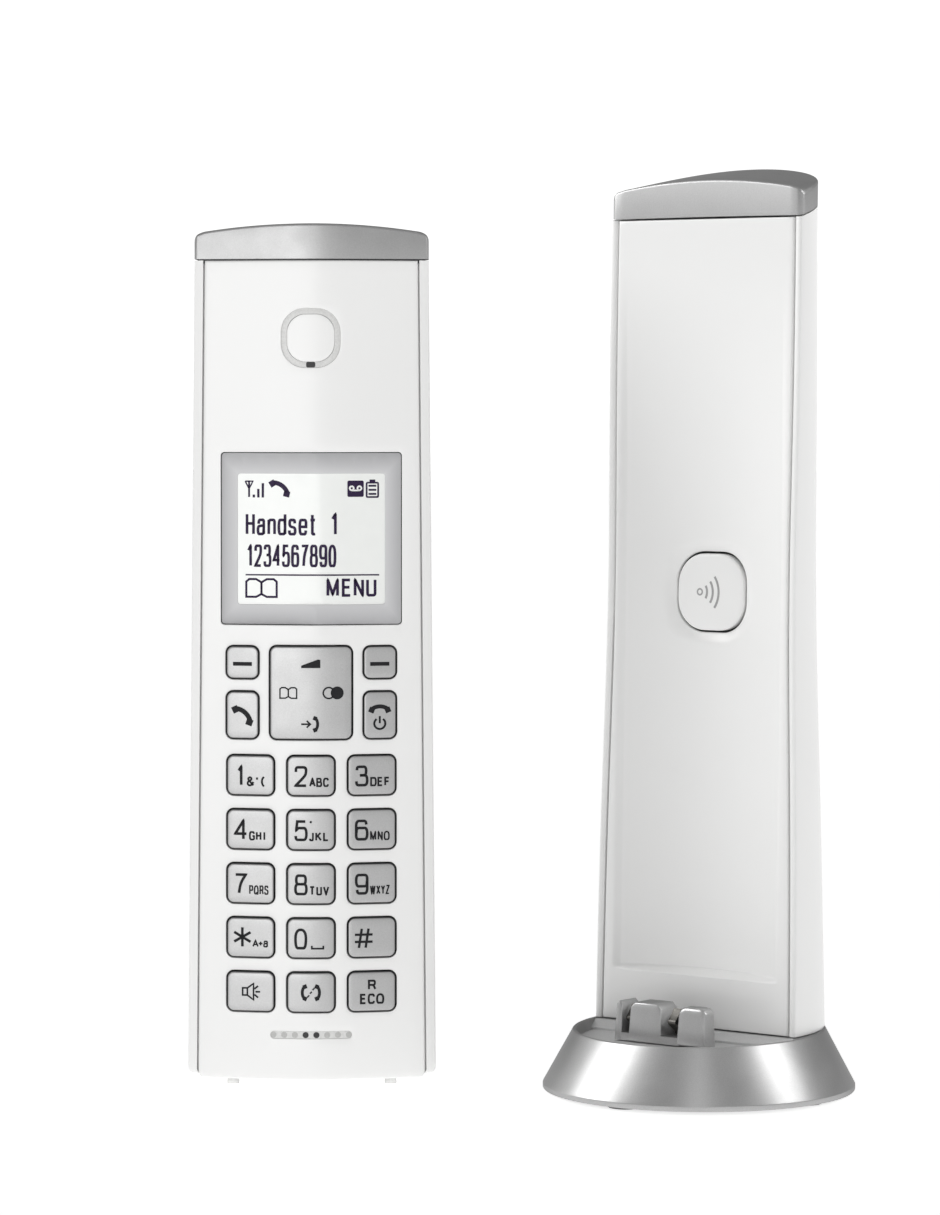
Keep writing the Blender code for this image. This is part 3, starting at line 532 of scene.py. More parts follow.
def pierced_sheet(outline, holes, grid, front, back):
    """A closed sheet with holes, as seen from the front. outline and each hole are lists of (loop, drop).

    The first loop of each is its edge, and each further loop lies further into the material. drop is how far
    the front surface lies behind its place there. grid is (xs, zs). front and back give y from (x, z).
    """
    points, drops, edges = [], [], []
    for loop, drop in [pair for loops in (outline, *holes) for pair in loops]:
        edges += closed_loop(len(loop), len(points))
        points += [Vector(p) for p in loop]
        drops += [drop] * len(loop)
    boxes = [limits(loops[-1][0]) for loops in holes]
    margin = 0.35
    limit = inset(outline[-1][0], margin)
    for x in grid[0]:
        for z in grid[1]:
            if any(a - margin < x < b + margin and c - margin < z < d + margin for a, b, c, d in boxes):
                continue
            if inside((x, z), limit):
                points.append(Vector((x, z)))
                drops.append(0.0)
    verts, _, faces, origins, _, _ = delaunay_2d_cdt(points, edges, [], 0, 1e-5)
    front_points = [
        (v.x, front(v.x, v.y) + (drops[origin[0]] if origin else 0.0), v.y) for v, origin in zip(verts, origins)
    ]
    edge_loops = [loops[0][0] for loops in holes]
    kept = []
    for face in faces:
        spot = face_middle(verts, face)
        if inside(spot, outline[0][0]) and not any(inside(spot, loop) for loop in edge_loops):
            kept.append(face)
    return two_sided(front_points, [(v.x, back(v.x, v.y), v.y) for v in verts], kept)


def lip(radius, steps=3):
    """(distance from the edge, drop) of a rounded edge, from the edge itself."""
    angles = spread(0, math.pi / 2, steps + 1)
    return [(radius * (1 - math.cos(a)), radius * (1 - math.sin(a))) for a in angles]


def hole(size, corner, centre, radius=0.18, halo=0.0, reach=0.9, steps=6):
    """Loops of a rounded opening with a soft lip, and with a shallow sink around it."""
    shape = shrinking(size, corner, centre, steps)
    loops = [(shape(-distance), drop + halo) for distance, drop in lip(radius)]
    for share in (0.35, 0.7, 1.0) if halo else ():
        loops.append((shape(-radius - (reach - radius) * share), halo * (1 - share * share * (3 - 2 * share))))
    return loops


def cut(bm, cutter):
    """The mesh without the cutter's volume. Both are closed."""
    objects = [loose_object(part) for part in (bm, cutter)]
    modifier = objects[0].modifiers.new("cut", "BOOLEAN")
    modifier.operation = "DIFFERENCE"
    modifier.object = objects[1]
    modifier.solver = "EXACT"
    bpy.context.view_layer.update()
    result = bmesh.new()
    result.from_object(objects[0], bpy.context.evaluated_depsgraph_get())
    for obj in objects:
        bpy.data.objects.remove(obj)
    return result


def block(low, high, corner=0.0, axis=1, segments=3):
    """A box between two corners. Its edges along one axis may be rounded."""
    bm = bmesh.new()
    bmesh.ops.create_cube(bm, size=1.0)
    size = Vector(high) - Vector(low)
    bm.transform(Matrix.Translation((Vector(high) + Vector(low)) / 2) @ Matrix.Diagonal((*size, 1.0)))
    if corner:
        edges = [e for e in bm.edges if abs((e.verts[1].co - e.verts[0].co).normalized()[axis]) > 0.99]
        bmesh.ops.bevel(bm, geom=edges, offset=corner, segments=segments, profile=0.5, affect="EDGES")
    return bm


def round_bar(radius, low, high):
    """A round bar along y."""
    bm = bmesh.new()
    bmesh.ops.create_cone(bm, cap_ends=True, segments=24, radius1=radius, radius2=radius, depth=high - low)
    bm.transform(Matrix.Translation((0, (low + high) / 2, 0)) @ Matrix.Rotation(math.pi / 2, 4, "X"))
    return bm


def lathe(profile, steps=144, tilt=lambda y, z: 0.0):
    """A closed solid turned round z from (radius, z) points that start and end on the axis."""
    bm = bmesh.new()
    rows = []
    for i in range(steps):
        a = 2 * math.pi * i / steps
        places = [(r * math.cos(a), r * math.sin(a), z) for r, z in profile[1:-1]]
        rows.append([bm.verts.new((x, y, z + tilt(y, z))) for x, y, z in places])
    ends = [bm.verts.new((0, 0, profile[k][1])) for k in (0, -1)]
    for i, j in closed_loop(steps):
        here, there = rows[i], rows[j]
        bm.faces.new((ends[0], here[0], there[0]))
        for k in range(len(here) - 1):
            bm.faces.new((here[k], here[k + 1], there[k + 1], there[k]))
        bm.faces.new((ends[1], there[-1], here[-1]))
    bmesh.ops.recalc_face_normals(bm, faces=bm.faces)
    return bm

# ---------------------------------------------------------------- repeated shapes

def copies_tree(name, sizes):
    """A node tree that puts copies of a shape on points, with the sizes as named inputs."""
    tree = bpy.data.node_groups.new(name, "GeometryNodeTree")
    kinds = {"Shape": "Geometry", **sizes, "Material": "Material"}
    for label, kind in kinds.items():
        tree.interface.new_socket(label, in_out="INPUT", socket_type=f"NodeSocket{kind}")
    tree.interface.new_socket("Copies", in_out="OUTPUT", socket_type="NodeSocketGeometry")
    given = put(tree, "NodeGroupInput").outputs
    place = put(tree, "GeometryNodeInstanceOnPoints", {"Instance": given["Shape"]})
    shapes = put(tree, "GeometryNodeRealizeInstances", {"Geometry": place.outputs["Instances"]}).outputs
    finish = put(tree, "GeometryNodeSetMaterial", {"Geometry": shapes["Geometry"], "Material": given["Material"]})
    put(tree, "NodeGroupOutput", {"Copies": finish.outputs["Geometry"]})
    return tree, given, place


def row_tree():
    """Copies in a straight row, each narrower than the one before by a share."""
    sizes = {"Count": "Int", "Start": "Vector", "Step": "Vector", "Narrowing": "Float"}
    tree, given, place = copies_tree("copies_in_a_row", sizes)
    index = put(tree, "GeometryNodeInputIndex").outputs["Index"]
    loss = put(tree, "ShaderNodeMath", {0: given["Narrowing"], 1: -1.0}, operation="MULTIPLY").outputs["Value"]
    width = put(tree, "ShaderNodeMath", {0: index, 1: loss, 2: 1.0}, operation="MULTIPLY_ADD").outputs["Value"]
    scale = put(tree, "ShaderNodeCombineXYZ", {"X": width, "Y": 1.0, "Z": 1.0})
    steps = {"Count": given["Count"], "Start Location": given["Start"], "Offset": given["Step"]}
    line = put(tree, "GeometryNodeMeshLine", steps, mode="OFFSET")
    tree.links.new(scale.outputs["Vector"], place.inputs["Scale"])
    tree.links.new(line.outputs["Mesh"], place.inputs["Points"])
    return tree


def circle_tree():
    """Copies evenly round a circle."""
    tree, given, place = copies_tree("copies_round_a_circle", {"Count": "Int", "Radius": "Float"})
    circle = put(tree, "GeometryNodeMeshCircle", {"Vertices": given["Count"], "Radius": given["Radius"]})
    tree.links.new(circle.outputs["Mesh"], place.inputs["Points"])
    return tree


def copies(tree, shape, material, **sizes):
    """A shape's copies as one plain mesh."""
    obj = loose_object(shape)
    modifier = obj.modifiers.new("copies", "NODES")
    modifier.node_group = tree
    values = {**sizes, "Material": MATERIALS[material]}
    for socket in tree.interface.items_tree:
        if socket.in_out == "INPUT" and socket.name in values:
            modifier[socket.identifier] = values[socket.name]
    made = bpy.data.meshes.new_from_object(obj.evaluated_get(bpy.context.evaluated_depsgraph_get()))
    obj.modifiers.clear()
    bpy.data.objects.remove(obj)
    bm = bmesh.new()
    bm.from_mesh(made)
    bpy.data.meshes.remove(made)
    return bm


def in_a_row(shape, material, count, start, step, narrowing=0.0):
    """Copies of a shape in a straight row, from the start, a step apart."""
    return copies(ROW, shape, material, Count=count, Start=start, Step=step, Narrowing=narrowing)


ROW = row_tree()
CIRCLE = circle_tree()


# ---------------------------------------------------------------- flat marks: letters, icons and strokes

GLYPHS = {
    "0": "2,0 0,0 0,7 4,7 4,0 2,0",
    "1": ".7,5.4 2.3,7 2.3,7 2.3,0",
    "2": ".2,5.2 .2,7 2.1,7 4.1,7 4.1,4.6 3.3,3.3 .1,0 .1,0 .1,0 4.1,0",
    "3": ".3,5.7 .4,7 2,7 3.8,7 3.8,3.8 2.2,3.75 1.4,3.75|1.4,3.75 2.2,3.75 4.2,3.75 4.2,0 2,0 .2,0 .1,1.5",
    "4": "3.1,0 3.1,7 3.1,7 0,2 0,2 4.3,2",
    "5": "3.8,7 .7,7 .7,7 .3,3.6 .3,3.6 1,4.5 2.1,4.5 4.2,4.5 4.2,0 2,0 .2,0 .1,1.5",
    "6": "3.9,5.6 3.6,7 2.2,7 0,7 0,3 0,0 2.1,0 4.2,0 4.2,4.3 2.1,4.3 .2,4.3 .1,2.4",
    "7": ".1,7 4,7 4,7 2,3.8 1.4,0",
    "8": "2.1,3.75 .3,3.75 .3,7 2.1,7 3.9,7 3.9,3.75 2.1,3.75|2.1,3.75 0,3.75 0,0 2.1,0 4.2,0 4.2,3.75 2.1,3.75",
    "9": ".3,1.4 .6,0 2,0 4.2,0 4.2,4 4.2,7 2.1,7 0,7 0,2.7 2.1,2.7 4,2.7 4.1,4.6",
    "A": "0,0 2.35,7 2.35,7 4.7,0|.8,2.3 3.9,2.3",
    "B": "2.2,3.75 3.8,3.75 3.8,7 2.2,7 .2,7 .2,7 .2,0 .2,0 2.3,0 4.3,0 4.3,3.75 2.3,3.75 .2,3.75",
    "C": "4.2,5.2 3.8,7 2.4,7 0,7 0,0 2.4,0 3.8,0 4.2,1.8",
    "D": ".2,3.5 .2,7 .2,7 2,7 4.6,7 4.6,0 2,0 .2,0 .2,0 .2,3.5",
    "E": "3.7,7 .2,7 .2,7 .2,0 .2,0 3.8,0|.2,3.7 3.4,3.7",
    "F": "3.7,7 .2,7 .2,7 .2,0|.2,3.6 3.4,3.6",
    "G": "4.2,5.3 3.8,7 2.4,7 0,7 0,0 2.4,0 3.6,0 4.3,.8 4.3,.8 4.3,3.3 4.3,3.3 2.6,3.3",
    "H": ".2,0 .2,7|4,0 4,7|.2,3.7 4,3.7",
    "I": "1,0 1,7",
    "J": "2.4,7 2.4,1.6 2.3,0 1.1,0 0,0 0,1.6",
    "K": ".2,0 .2,7|3.9,7 .3,3|1.5,4.3 4.2,0",
    "L": ".2,7 .2,0 .2,0 3.6,0",
    "M": ".1,0 .1,7 .1,7 2.6,.6 2.6,.6 5.1,7 5.1,7 5.1,0",
    "N": ".2,0 .2,7 .2,7 4.1,0 4.1,0 4.1,7",
    "O": "2.4,0 0,0 0,7 4.9,7 4.9,0 2.4,0",
    "P": ".2,0 .2,7 .2,7 2.3,7 4.2,7 4.2,3.2 2.3,3.2 .2,3.2",
    "Q": "2.4,0 0,0 0,7 4.9,7 4.9,0 2.4,0|2.8,1.6 4.9,-.6",
    "R": ".2,0 .2,7 .2,7 2.3,7 4.1,7 4.1,3.5 2.3,3.5 .2,3.5|2.3,3.5 3.3,3.2 4.4,0",
    "S": "3.9,5.3 3.8,7 2,7 .2,7 .2,4 2.1,3.7 4.2,3.3 4.2,0 2,0 .1,0 0,1.8",
    "T": "0,7 4.2,7|2.1,7 2.1,0",
    "U": ".2,7 .2,2 .2,0 2.1,0 4.1,0 4.1,2 4.1,7",
    "V": "0,7 2.2,0 2.2,0 4.4,7",
    "W": "0,7 1.6,0 1.6,0 3.2,6.6 3.2,6.6 4.8,0 4.8,0 6.4,7",
    "X": "0,7 4.2,0|0,0 4.2,7",
    "Y": "0,7 2.1,3.4 2.1,3.4 4.2,7|2.1,3.4 2.1,0",
    "Z": "0,7 4,7 4,7 0,0 0,0 4.1,0",
    "a": ".4,3.6 .6,5 2,5 3.4,5 3.4,3.4 3.4,0|3.4,3 1.8,2.9 0,2.7 0,0 1.5,0 3.2,0 3.4,1.8",
    "d": "3.6,7 3.6,0|3.6,3.2 3.4,5 1.8,5 0,5 0,0 1.8,0 3.4,0 3.6,1.8",
    "e": ".1,2.6 3.6,2.6 3.6,2.6 3.6,5 1.8,5 0,5 0,0 1.9,0 3.3,0 3.5,1.3",
    "n": ".2,0 .2,5|.2,3.2 .5,5 2,5 3.6,5 3.6,3 3.6,0",
    "s": "3.2,3.8 3.1,5 1.6,5 .2,5 .2,2.8 1.7,2.5 3.4,2.2 3.4,0 1.7,0 .1,0 0,1.3",
    "t": "1.2,6.8 1.2,1.2 1.2,0 2.2,0 2.8,.1|.1,5 2.7,5",
    "&": "4.2,0 .8,4.6 .6,6.2 1.8,7.2 3,6.2 2.6,4.6 .4,3.2 .2,1 1.4,-.3 3,.4 4.2,3",
    "'": ".8,7 .8,5",
    "(": "1.6,7.6 .2,5.4 .2,1.4 1.6,-.8",
}
WIDTHS = {"1": 2.9, "'": 1.6, "(": 1.8, "E": 3.7, "F": 3.5, "I": 2.0, "J": 2.4, "L": 3.5}
WIDTHS.update({"M": 5.4, "O": 4.8, "Q": 4.8, "W": 6.4})


def rounded_path(points, rounds=3):
    """An open path with its corners cut again and again, which rounds them. A doubled point stays sharp."""
    for _ in range(rounds):
        cut_path = [points[0]]
        for here, there in zip(points, points[1:]):
            cut_path += [tuple(a * (1 - k) + b * k for a, b in zip(here, there)) for k in (0.25, 0.75)]
        points = [*cut_path, points[-1]]
    return points


def lettering(text, height, span, z, line):
    """Letters of one stroke width, whose capitals are `height` tall. They stand on z and fill `span` in x."""
    unit = (height - line) / 7
    widths = [WIDTHS.get(letter, 4.0 if letter.isupper() or letter.isdigit() else 3.5) for letter in text]
    gaps = len(text) - 1
    free = span[1] - span[0] - line * (1 + gaps)
    width = free / (unit * (sum(widths) + gaps))
    pen = span[0] + line / 2
    strokes = []
    for letter, advance in zip(text, widths):
        for part in GLYPHS.get(letter, "").split("|"):
            points = [tuple(float(v) for v in pair.split(",")) for pair in part.split()]
            points = [(pen + x * unit * width, z + line / 2 + y * unit) for x, y in points]
            if points:
                strokes.append(stroke(rounded_path(points) if len(points) > 2 else points, line))
        pen += (advance + 1) * unit * width + line
    return join(*strokes)


def stroke(points, width, closed=False):
    """A drawn line of constant width through points (x, z), as a flat ribbon with square corners."""
    places = [Vector(points[0])]
    for point in [*points[1:], points[0]] if closed else points[1:]:
        step = Vector(point) - places[-1]
        if step.length < 0.01:
            continue
        pieces = math.ceil(step.length / MARK_STEP)
        places += [places[-1] + step * i / pieces for i in range(1, pieces + 1)]
    if closed:
        places.pop()
    count = len(places)
    rings = []
    for i, here in enumerate(places):
        sides = []
        if i > 0 or closed:
            sides.append((here - places[i - 1]).normalized())
        if i < count - 1 or closed:
            sides.append((places[(i + 1) % count] - here).normalized())
        along = sum(sides, Vector((0, 0))).normalized()
        normal = Vector((-along.y, along.x))
        stretch = max(0.6, normal.dot(Vector((-sides[0].y, sides[0].x))))
        offset = normal * width / 2 / stretch
        a, b = here + offset, here - offset
        rings.append([(a.x, -0.5, a.y), (b.x, -0.5, b.y), (b.x, 0.5, b.y), (a.x, 0.5, a.y)])
    return skin(rings, ends=not closed)


def patch(points):
    """A filled flat shape from its outline (x, z), fine enough to follow a curved surface."""
    outline = []
    for i, j in closed_loop(len(points)):
        here, there = Vector(points[i]), Vector(points[j])
        pieces = max(1, math.ceil((there - here).length / MARK_STEP))
        outline += [here + (there - here) * k / pieces for k in range(pieces)]
    x_low, x_high, z_low, z_high = limits(outline)
    limit = inset(outline, 0.15)
    grid = []
    for x in spread(x_low, x_high, 2 + math.ceil((x_high - x_low) / MARK_STEP)):
        for z in spread(z_low, z_high, 2 + math.ceil((z_high - z_low) / MARK_STEP)):
            if inside((x, z), limit):
                grid.append(Vector((x, z)))
    verts, _, faces, _, _, _ = delaunay_2d_cdt(outline + grid, closed_loop(len(outline)), [], 0, 1e-6)
    kept = [face for face in faces if inside(face_middle(verts, face), outline)]
    return two_sided(*([(v.x, y, v.y) for v in verts] for y in (-0.5, 0.5)), kept)


def receiver(centre, length, turn=0.0):
    """A telephone receiver icon: a bent bar with a block at each end."""
    unit = length / 2
    bar = stroke([(x * unit, z * unit) for x, z in arc((0, -1.05), 1.25, 58, 122, 8)], 0.36 * unit)
    ends = [
        stroke([(s * 0.62 * unit, 0.10 * unit), (s * 0.80 * unit, -0.34 * unit)], 0.50 * unit) for s in (-1, 1)
    ]
    bm = join(bar, *ends)
    c, s = math.cos(turn), math.sin(turn)
    for vert in bm.verts:
        x, z = vert.co.x, vert.co.z
        vert.co = Vector((centre[0] + x * c - z * s, vert.co.y, centre[1] + x * s + z * c))
    return bm


def lay_on(bm, surface, height=0.035, thickness=0.05):
    """Wraps flat marks on a surface y(x, z), so that they stand `height` in front of it."""
    for vert in bm.verts:
        depth = vert.co.y * thickness
        vert.co.y = surface(vert.co.x, vert.co.z) - height + depth + thickness / 2
    return bm


# ---------------------------------------------------------------- shared surfaces

def handset_half(z):
    return HANDSET_HALVES[0] + (HANDSET_HALVES[1] - HANDSET_HALVES[0]) * z / HANDSET_HEIGHT


def column_half(z):
    return COLUMN_HALVES[0] + (COLUMN_HALVES[1] - COLUMN_HALVES[0]) * z / COLUMN_HEIGHT


def flank(z):
    return FLANKS[0] + (FLANKS[1] - FLANKS[0]) * z / HANDSET_HEIGHT


def ridge(x):
    return math.sqrt(x * x + RIDGE * RIDGE) - RIDGE


def front_y(x, z):
    """The handset's front: two flat flanks that meet in a soft ridge down the middle."""
    return -flank(z) - CROWN * (1 - ridge(x) / ridge(handset_half(z)))


def smoothstep(t):
    t = max(0.0, min(1.0, t))
    return t * t * (3 - 2 * t)


def hollow_share(z, lift=0.0):
    low = HOLLOW_LOW + lift
    if z <= HOLLOW_FULL:
        return smoothstep((z - low) / LEDGE)
    return 1 - smoothstep((z - HOLLOW_FULL) / (HOLLOW_HIGH - HOLLOW_FULL))


def hollow_depth(x, shrink=0.0):
    """Depth across the hollow: a flat margin, a slope, then an arc."""
    half = HOLLOW_HALF - shrink
    side = HOLLOW_SIDE - shrink
    across = abs(x)
    if across >= half:
        return side * (1 - smoothstep((across - half) / (HOLLOW_SLOPE - shrink)))
    return side + HOLLOW_CROWN * (1 - (across / half) ** 2)


def scoop(z):
    """How far the column's edge is drawn in at a height."""
    t = (z - SCOOP_MIDDLE) / SCOOP_REACH
    return SCOOP * math.exp(-t * t * 2)


def column_depth(z):
    t = 1 - z / COLUMN_HEIGHT
    return 18.5 + 6.0 * t + 3.5 * t * t


# ---------------------------------------------------------------- handset pieces

def key_places():
    """Name, middle and size of each key that only moves straight in."""
    names = ("1", "2", "3", "4", "5", "6", "7", "8", "9", "star", "0", "hash", "speaker", "intercom", "recall")
    for i, name in enumerate(names):
        row, column = divmod(i, 3)
        yield name, (column - 1) * KEY_PITCH[0], KEY_ROW_HIGH - row * KEY_PITCH[1], KEY_SIZE
    for side, soft, call in ((-1, "soft_left", "talk"), (1, "soft_right", "off")):
        yield soft, side * SIDE_KEY_X, *SOFT_KEY
        yield call, side * SIDE_KEY_X, *CALL_KEY


def arch(half_at, half_on_top, low, high, up, across):
    """The right side, top and left side of a tall outline, anticlockwise."""
    right = [(half_at(z), z) for z in spread(low, high, up)]
    top = [(x, high) for x in spread(half_on_top, -half_on_top, across)[1:-1]]
    return right + top + [(-x, z) for x, z in reversed(right)]


def front_outline():
    """The front cover's outline with its rounded lower corners, inset by a distance."""
    corner = 1.2

    def at(distance):
        low, high = COVER_LOW + distance, HANDSET_HEIGHT - SEAM - distance
        edge = STRIP + SEAM + distance
        points = arch(lambda z: handset_half(z) - edge, handset_half(high) - edge, low + corner, high, 40, 49)
        half = handset_half(low) - edge - corner
        points += arc((-half, low + corner), corner, 180, 270)[1:]
        points += [(x, low) for x in spread(-half, half, 49)[1:-1]]
        return points + arc((half, low + corner), corner, 270, 360)[:-1]

    return [(at(distance), drop) for distance, drop in lip(0.5, 4)]


def front_cover():
    holes = []
    for x, z, size, steps in [*((x, z, size, 6) for _, x, z, size in key_places()), (0, *NAV_KEY, 8)]:
        grown = (size[0] + 2 * KEY_GAP, size[1] + 2 * KEY_GAP)
        holes.append(hole(grown, KEY_CORNER + KEY_GAP, (x, z), halo=0.06, steps=steps))
    z, size = WINDOW
    holes.append(hole((size[0] + 0.3, size[1] + 0.3), 0.8, (0, z), radius=0.15))
    holes.append(hole((MIC_STRIP[0] + 0.04, MIC_STRIP[1] + 0.04), 0.82, (0, MIC_Z), radius=0.08))
    holes.append(hole((EARPIECE[0],) * 2, 5.0, (0, EARPIECE_Z), radius=0.15, steps=10))
    xs = [s * x for x in (0.7, 1.6, 2.7, 4, 5.5, 7, 9, 11, 13, 15, 17, 19, 21) for s in (-1, 1)] + [0.0]
    zs = spread(3, 170, 100)
    sheet = pierced_sheet(front_outline(), holes, (xs, zs), front_y, lambda x, z: front_y(x, z) + 1.5)
    island = soft_block(
        shrinking((EARPIECE[1],) * 2, 3.9, (0, EARPIECE_Z), 10),
        0.0,
        lambda x, z: -front_y(x, z),
        lambda x, z, h: (x, -h if h else front_y(x, z) + 1.5, z),
        0.15,
    )
    meshes = [(sheet, "white"), (island, "white")]
    piece("front_cover", meshes, HANDSET, "handset", ["handset_front_cover"])


def earpiece_ring():
    """A light grey ring sunk in the cover, with a dark slot at its lowest point."""
    outer, inner = EARPIECE[0] - 0.03, EARPIECE[1] + 0.03
    steps = ((outer, 1.0), (outer, 0.25), (outer - 0.2, 0.18), (inner + 0.2, 0.18), (inner, 0.25), (inner, 1.0))
    rings = []
    for size, depth in steps:
        loop = rounded_rectangle((size,) * 2, 5.0 - (outer - size) / 2, (0, EARPIECE_Z), 10)
        rings.append([(x, front_y(x, z) + depth, z) for x, z in loop])
    trim = skin(rings, ends=False)
    slot_z = EARPIECE_Z - (outer + inner) / 4
    slot = lay_on(patch(rounded_rectangle((1.9, 1.15), 0.3, (0, slot_z), 3)), front_y, -0.15, 0.1)
    meshes = [(trim, "light_grey"), (slot, "dark")]
    piece("earpiece_trim", meshes, HANDSET, "handset", ["earpiece_ring"])


def microphone_strip():
    """A light grey strip with a row of printed dots, of which the two in the middle are dark."""
    def surface(x, z):
        return front_y(x, z) + 0.12

    strip = soft_block(
        shrinking(MIC_STRIP, 0.8, (0, MIC_Z), 5),
        0.0,
        lambda x, z: -surface(x, z),
        lambda x, z, h: (x, -h if h else front_y(x, z) + 1.4, z),
        0.1,
        (25, 4),
    )
    parts = [(strip, "light_grey")]
    for count, material, height in ((8, "faint_dot", 0.03), (2, "dark", 0.05)):
        start = ((1 - count) / 2 * MIC_PITCH, 0.0, MIC_Z)
        dot = patch(round_loop((0, 0), 0.64, 16))
        dots = in_a_row(dot, material, count, start, (MIC_PITCH, 0.0, 0.0))
        parts.append((lay_on(dots, surface, height, 0.06), material))
    piece("microphone_trim", parts, HANDSET, "handset", ["microphone_strip"])


def rear_cover():
    """The handset's back: a trough with rounded edges, a swell that fills the column's hollow, and a floor."""
    def section(z, shrink, front_lift):
        w = handset_half(z) - shrink
        share = hollow_share(z, 0.7)
        back_corner = max(0.8, 2.2 - shrink)
        edge = w - STRIP
        y_front = front_y(min(edge, w), z) + 0.05 + front_lift
        ledge = front_y(edge, z) + 1.6 + front_lift
        points = [(x, ledge) for x in spread(-edge, edge, 9)]
        strip = [(edge, y_front + 0.12), (edge + 0.12, y_front), (w - 0.55, -flank(z) + 0.1 + front_lift)]
        side = [(w - 0.16, -flank(z) + 0.3 + front_lift), (w, -flank(z) + 0.9 + front_lift)]
        side += [(w, y) for y in spread(-flank(z) * 0.7, -back_corner - 0.3 - shrink, 4)]
        bend = [(w - back_corner + x, -back_corner - shrink + y) for x, y in arc((0, 0), back_corner, 0, 90, 5)]
        half = HOLLOW_HALF - DOCK_GAP
        xs = [half + HOLLOW_SLOPE - DOCK_GAP, *spread(half + 1.2, half, 4)[:-1], *spread(half, -half, 25)]
        xs += [*spread(-half, -half - 1.2, 4)[1:], -half - HOLLOW_SLOPE + DOCK_GAP]
        back = [(x, share * hollow_depth(x, DOCK_GAP) - shrink) for x in xs]
        mirrored = [(-x, y) for x, y in reversed(strip + side + bend)]
        return [(x, y, z) for x, y in points + strip + side + bend + back + mirrored]

    levels = [(SHELL_LOW, 0.9), (SHELL_LOW + 0.12, 0.5), (SHELL_LOW + 0.4, 0.2), (SHELL_LOW + 0.9, 0.0)]
    levels += [(z, 0.0) for z in spread(5.0, HOLLOW_LOW, 3)]
    levels += [(z + 0.7, 0.0) for z in spread(HOLLOW_LOW + 0.3, HOLLOW_LOW + LEDGE, 5)]
    levels += [(z, 0.0) for z in spread(18, HANDSET_HEIGHT - SEAM, 50)]
    body = skin([section(z, shrink, 0.0) for z, shrink in levels])
    room = skin([section(z, 2.9, -8.0) for z in spread(12.0, HANDSET_HEIGHT + 4, 12)])
    charging_pocket = block((-10.9, -13.5, -5), (10.9, -5.8, 6.6), 0.8, 2)
    (door_left, door_low), (door_right, door_high) = DOOR
    doorway = block((door_left - SEAM, -3, door_low - SEAM), (door_right + SEAM, 8, door_high + SEAM))
    slots = in_a_row(block((-5.5, -3, -0.6), (5.5, 8, 0.6), 0.55), "white", 4, (0.0, 0.0, 126.0), (0.0, 0.0, 3.0))
    pair = ((-8.0, 0.0, 160.0), (16.0, 0.0, 0.0))
    counterbores = in_a_row(round_bar(1.8, -2.0, 10.6), "white", 2, *pair)
    for cutter in (room, charging_pocket, doorway, slots, counterbores):
        body = cut(body, cutter)
    cross = join(block((-1.0, -1.4, -0.22), (1.0, 0.5, 0.22)), block((-0.22, -1.4, -1.0), (0.22, 0.5, 1.0)))
    screw = join(cut(round_bar(1.6, -2.1, -1.0), cross), round_bar(1.0, -9.4, -2.0))
    screws = [(in_a_row(screw, "steel", 2, *pair), "steel")]
    piece("case_screws", screws, HANDSET, "handset", ["case_screw_left", "case_screw_right"])
    spots = [rounded_rectangle((2.6, 2.6), 0.5, (0, y), 4) for y in (12.5, 3.0)]
    pads = [soft_block(spot, -2.8, lambda u, v: 0.0, lambda u, v, h: (u, -v, -h), 0.15) for spot in spots]
    pads = in_a_row(join(*pads), "light_grey", 2, (-16.5, 0.0, 0.0), (33.0, 0.0, 0.0))
    meshes = [(body, "white"), (pads, "light_grey")]
    piece("rear_cover", meshes, HANDSET, "handset", ["handset_rear_cover"])


def battery_door():
    """A flush door with a row of grip ribs at its upper end, each shorter than the one above."""
    (left, low), (right, high) = DOOR

    def surface(x, z):
        return hollow_depth(x, DOCK_GAP)

    door = soft_block(
        shrinking((right - left, high - low), 0.8, (0, (low + high) / 2), 4),
        0.0,
        surface,
        lambda x, z, h: (x, h if h else surface(x, z) - 1.0, z),
        0.25,
        (25, 17),
    )
    rib = stroke([(-4.5, 0), (4.5, 0)], 0.6)
    ribs = in_a_row(rib, "white", 5, (0.0, 0.0, high - 5), (0.0, 0.0, -1.7), 0.13)
    for vert in ribs.verts:
        vert.co.y = surface(vert.co.x, 0) + 0.36 * vert.co.y
    meshes = [(door, "white"), (ribs, "white")]
    piece("battery_door_panel", meshes, HANDSET, "battery_door", ["battery_door"])


def cap_outline(half, front, back, corner):
    """The handset cap seen from above, anticlockwise: the roof-shaped front, and a flat back."""
    bend = 2.0
    side = [
        (half - corner * (1 - math.sin(a)), front(half - corner) + corner * (1 - math.cos(a)))
        for a in spread(0, math.pi / 2, 6)[1:]
    ]
    side += [(half, y) for y in spread(side[-1][1], back - bend, 4)[1:]]
    side += arc((half - bend, back - bend), bend, 0, 90)[1:]
    points = [(x, front(x)) for x in spread(-half + corner, half - corner, 33)] + side
    points += [(x, back) for x in spread(half - bend, -half + bend, 9)[1:-1]]
    return points + [(-x, y) for x, y in reversed(side)]


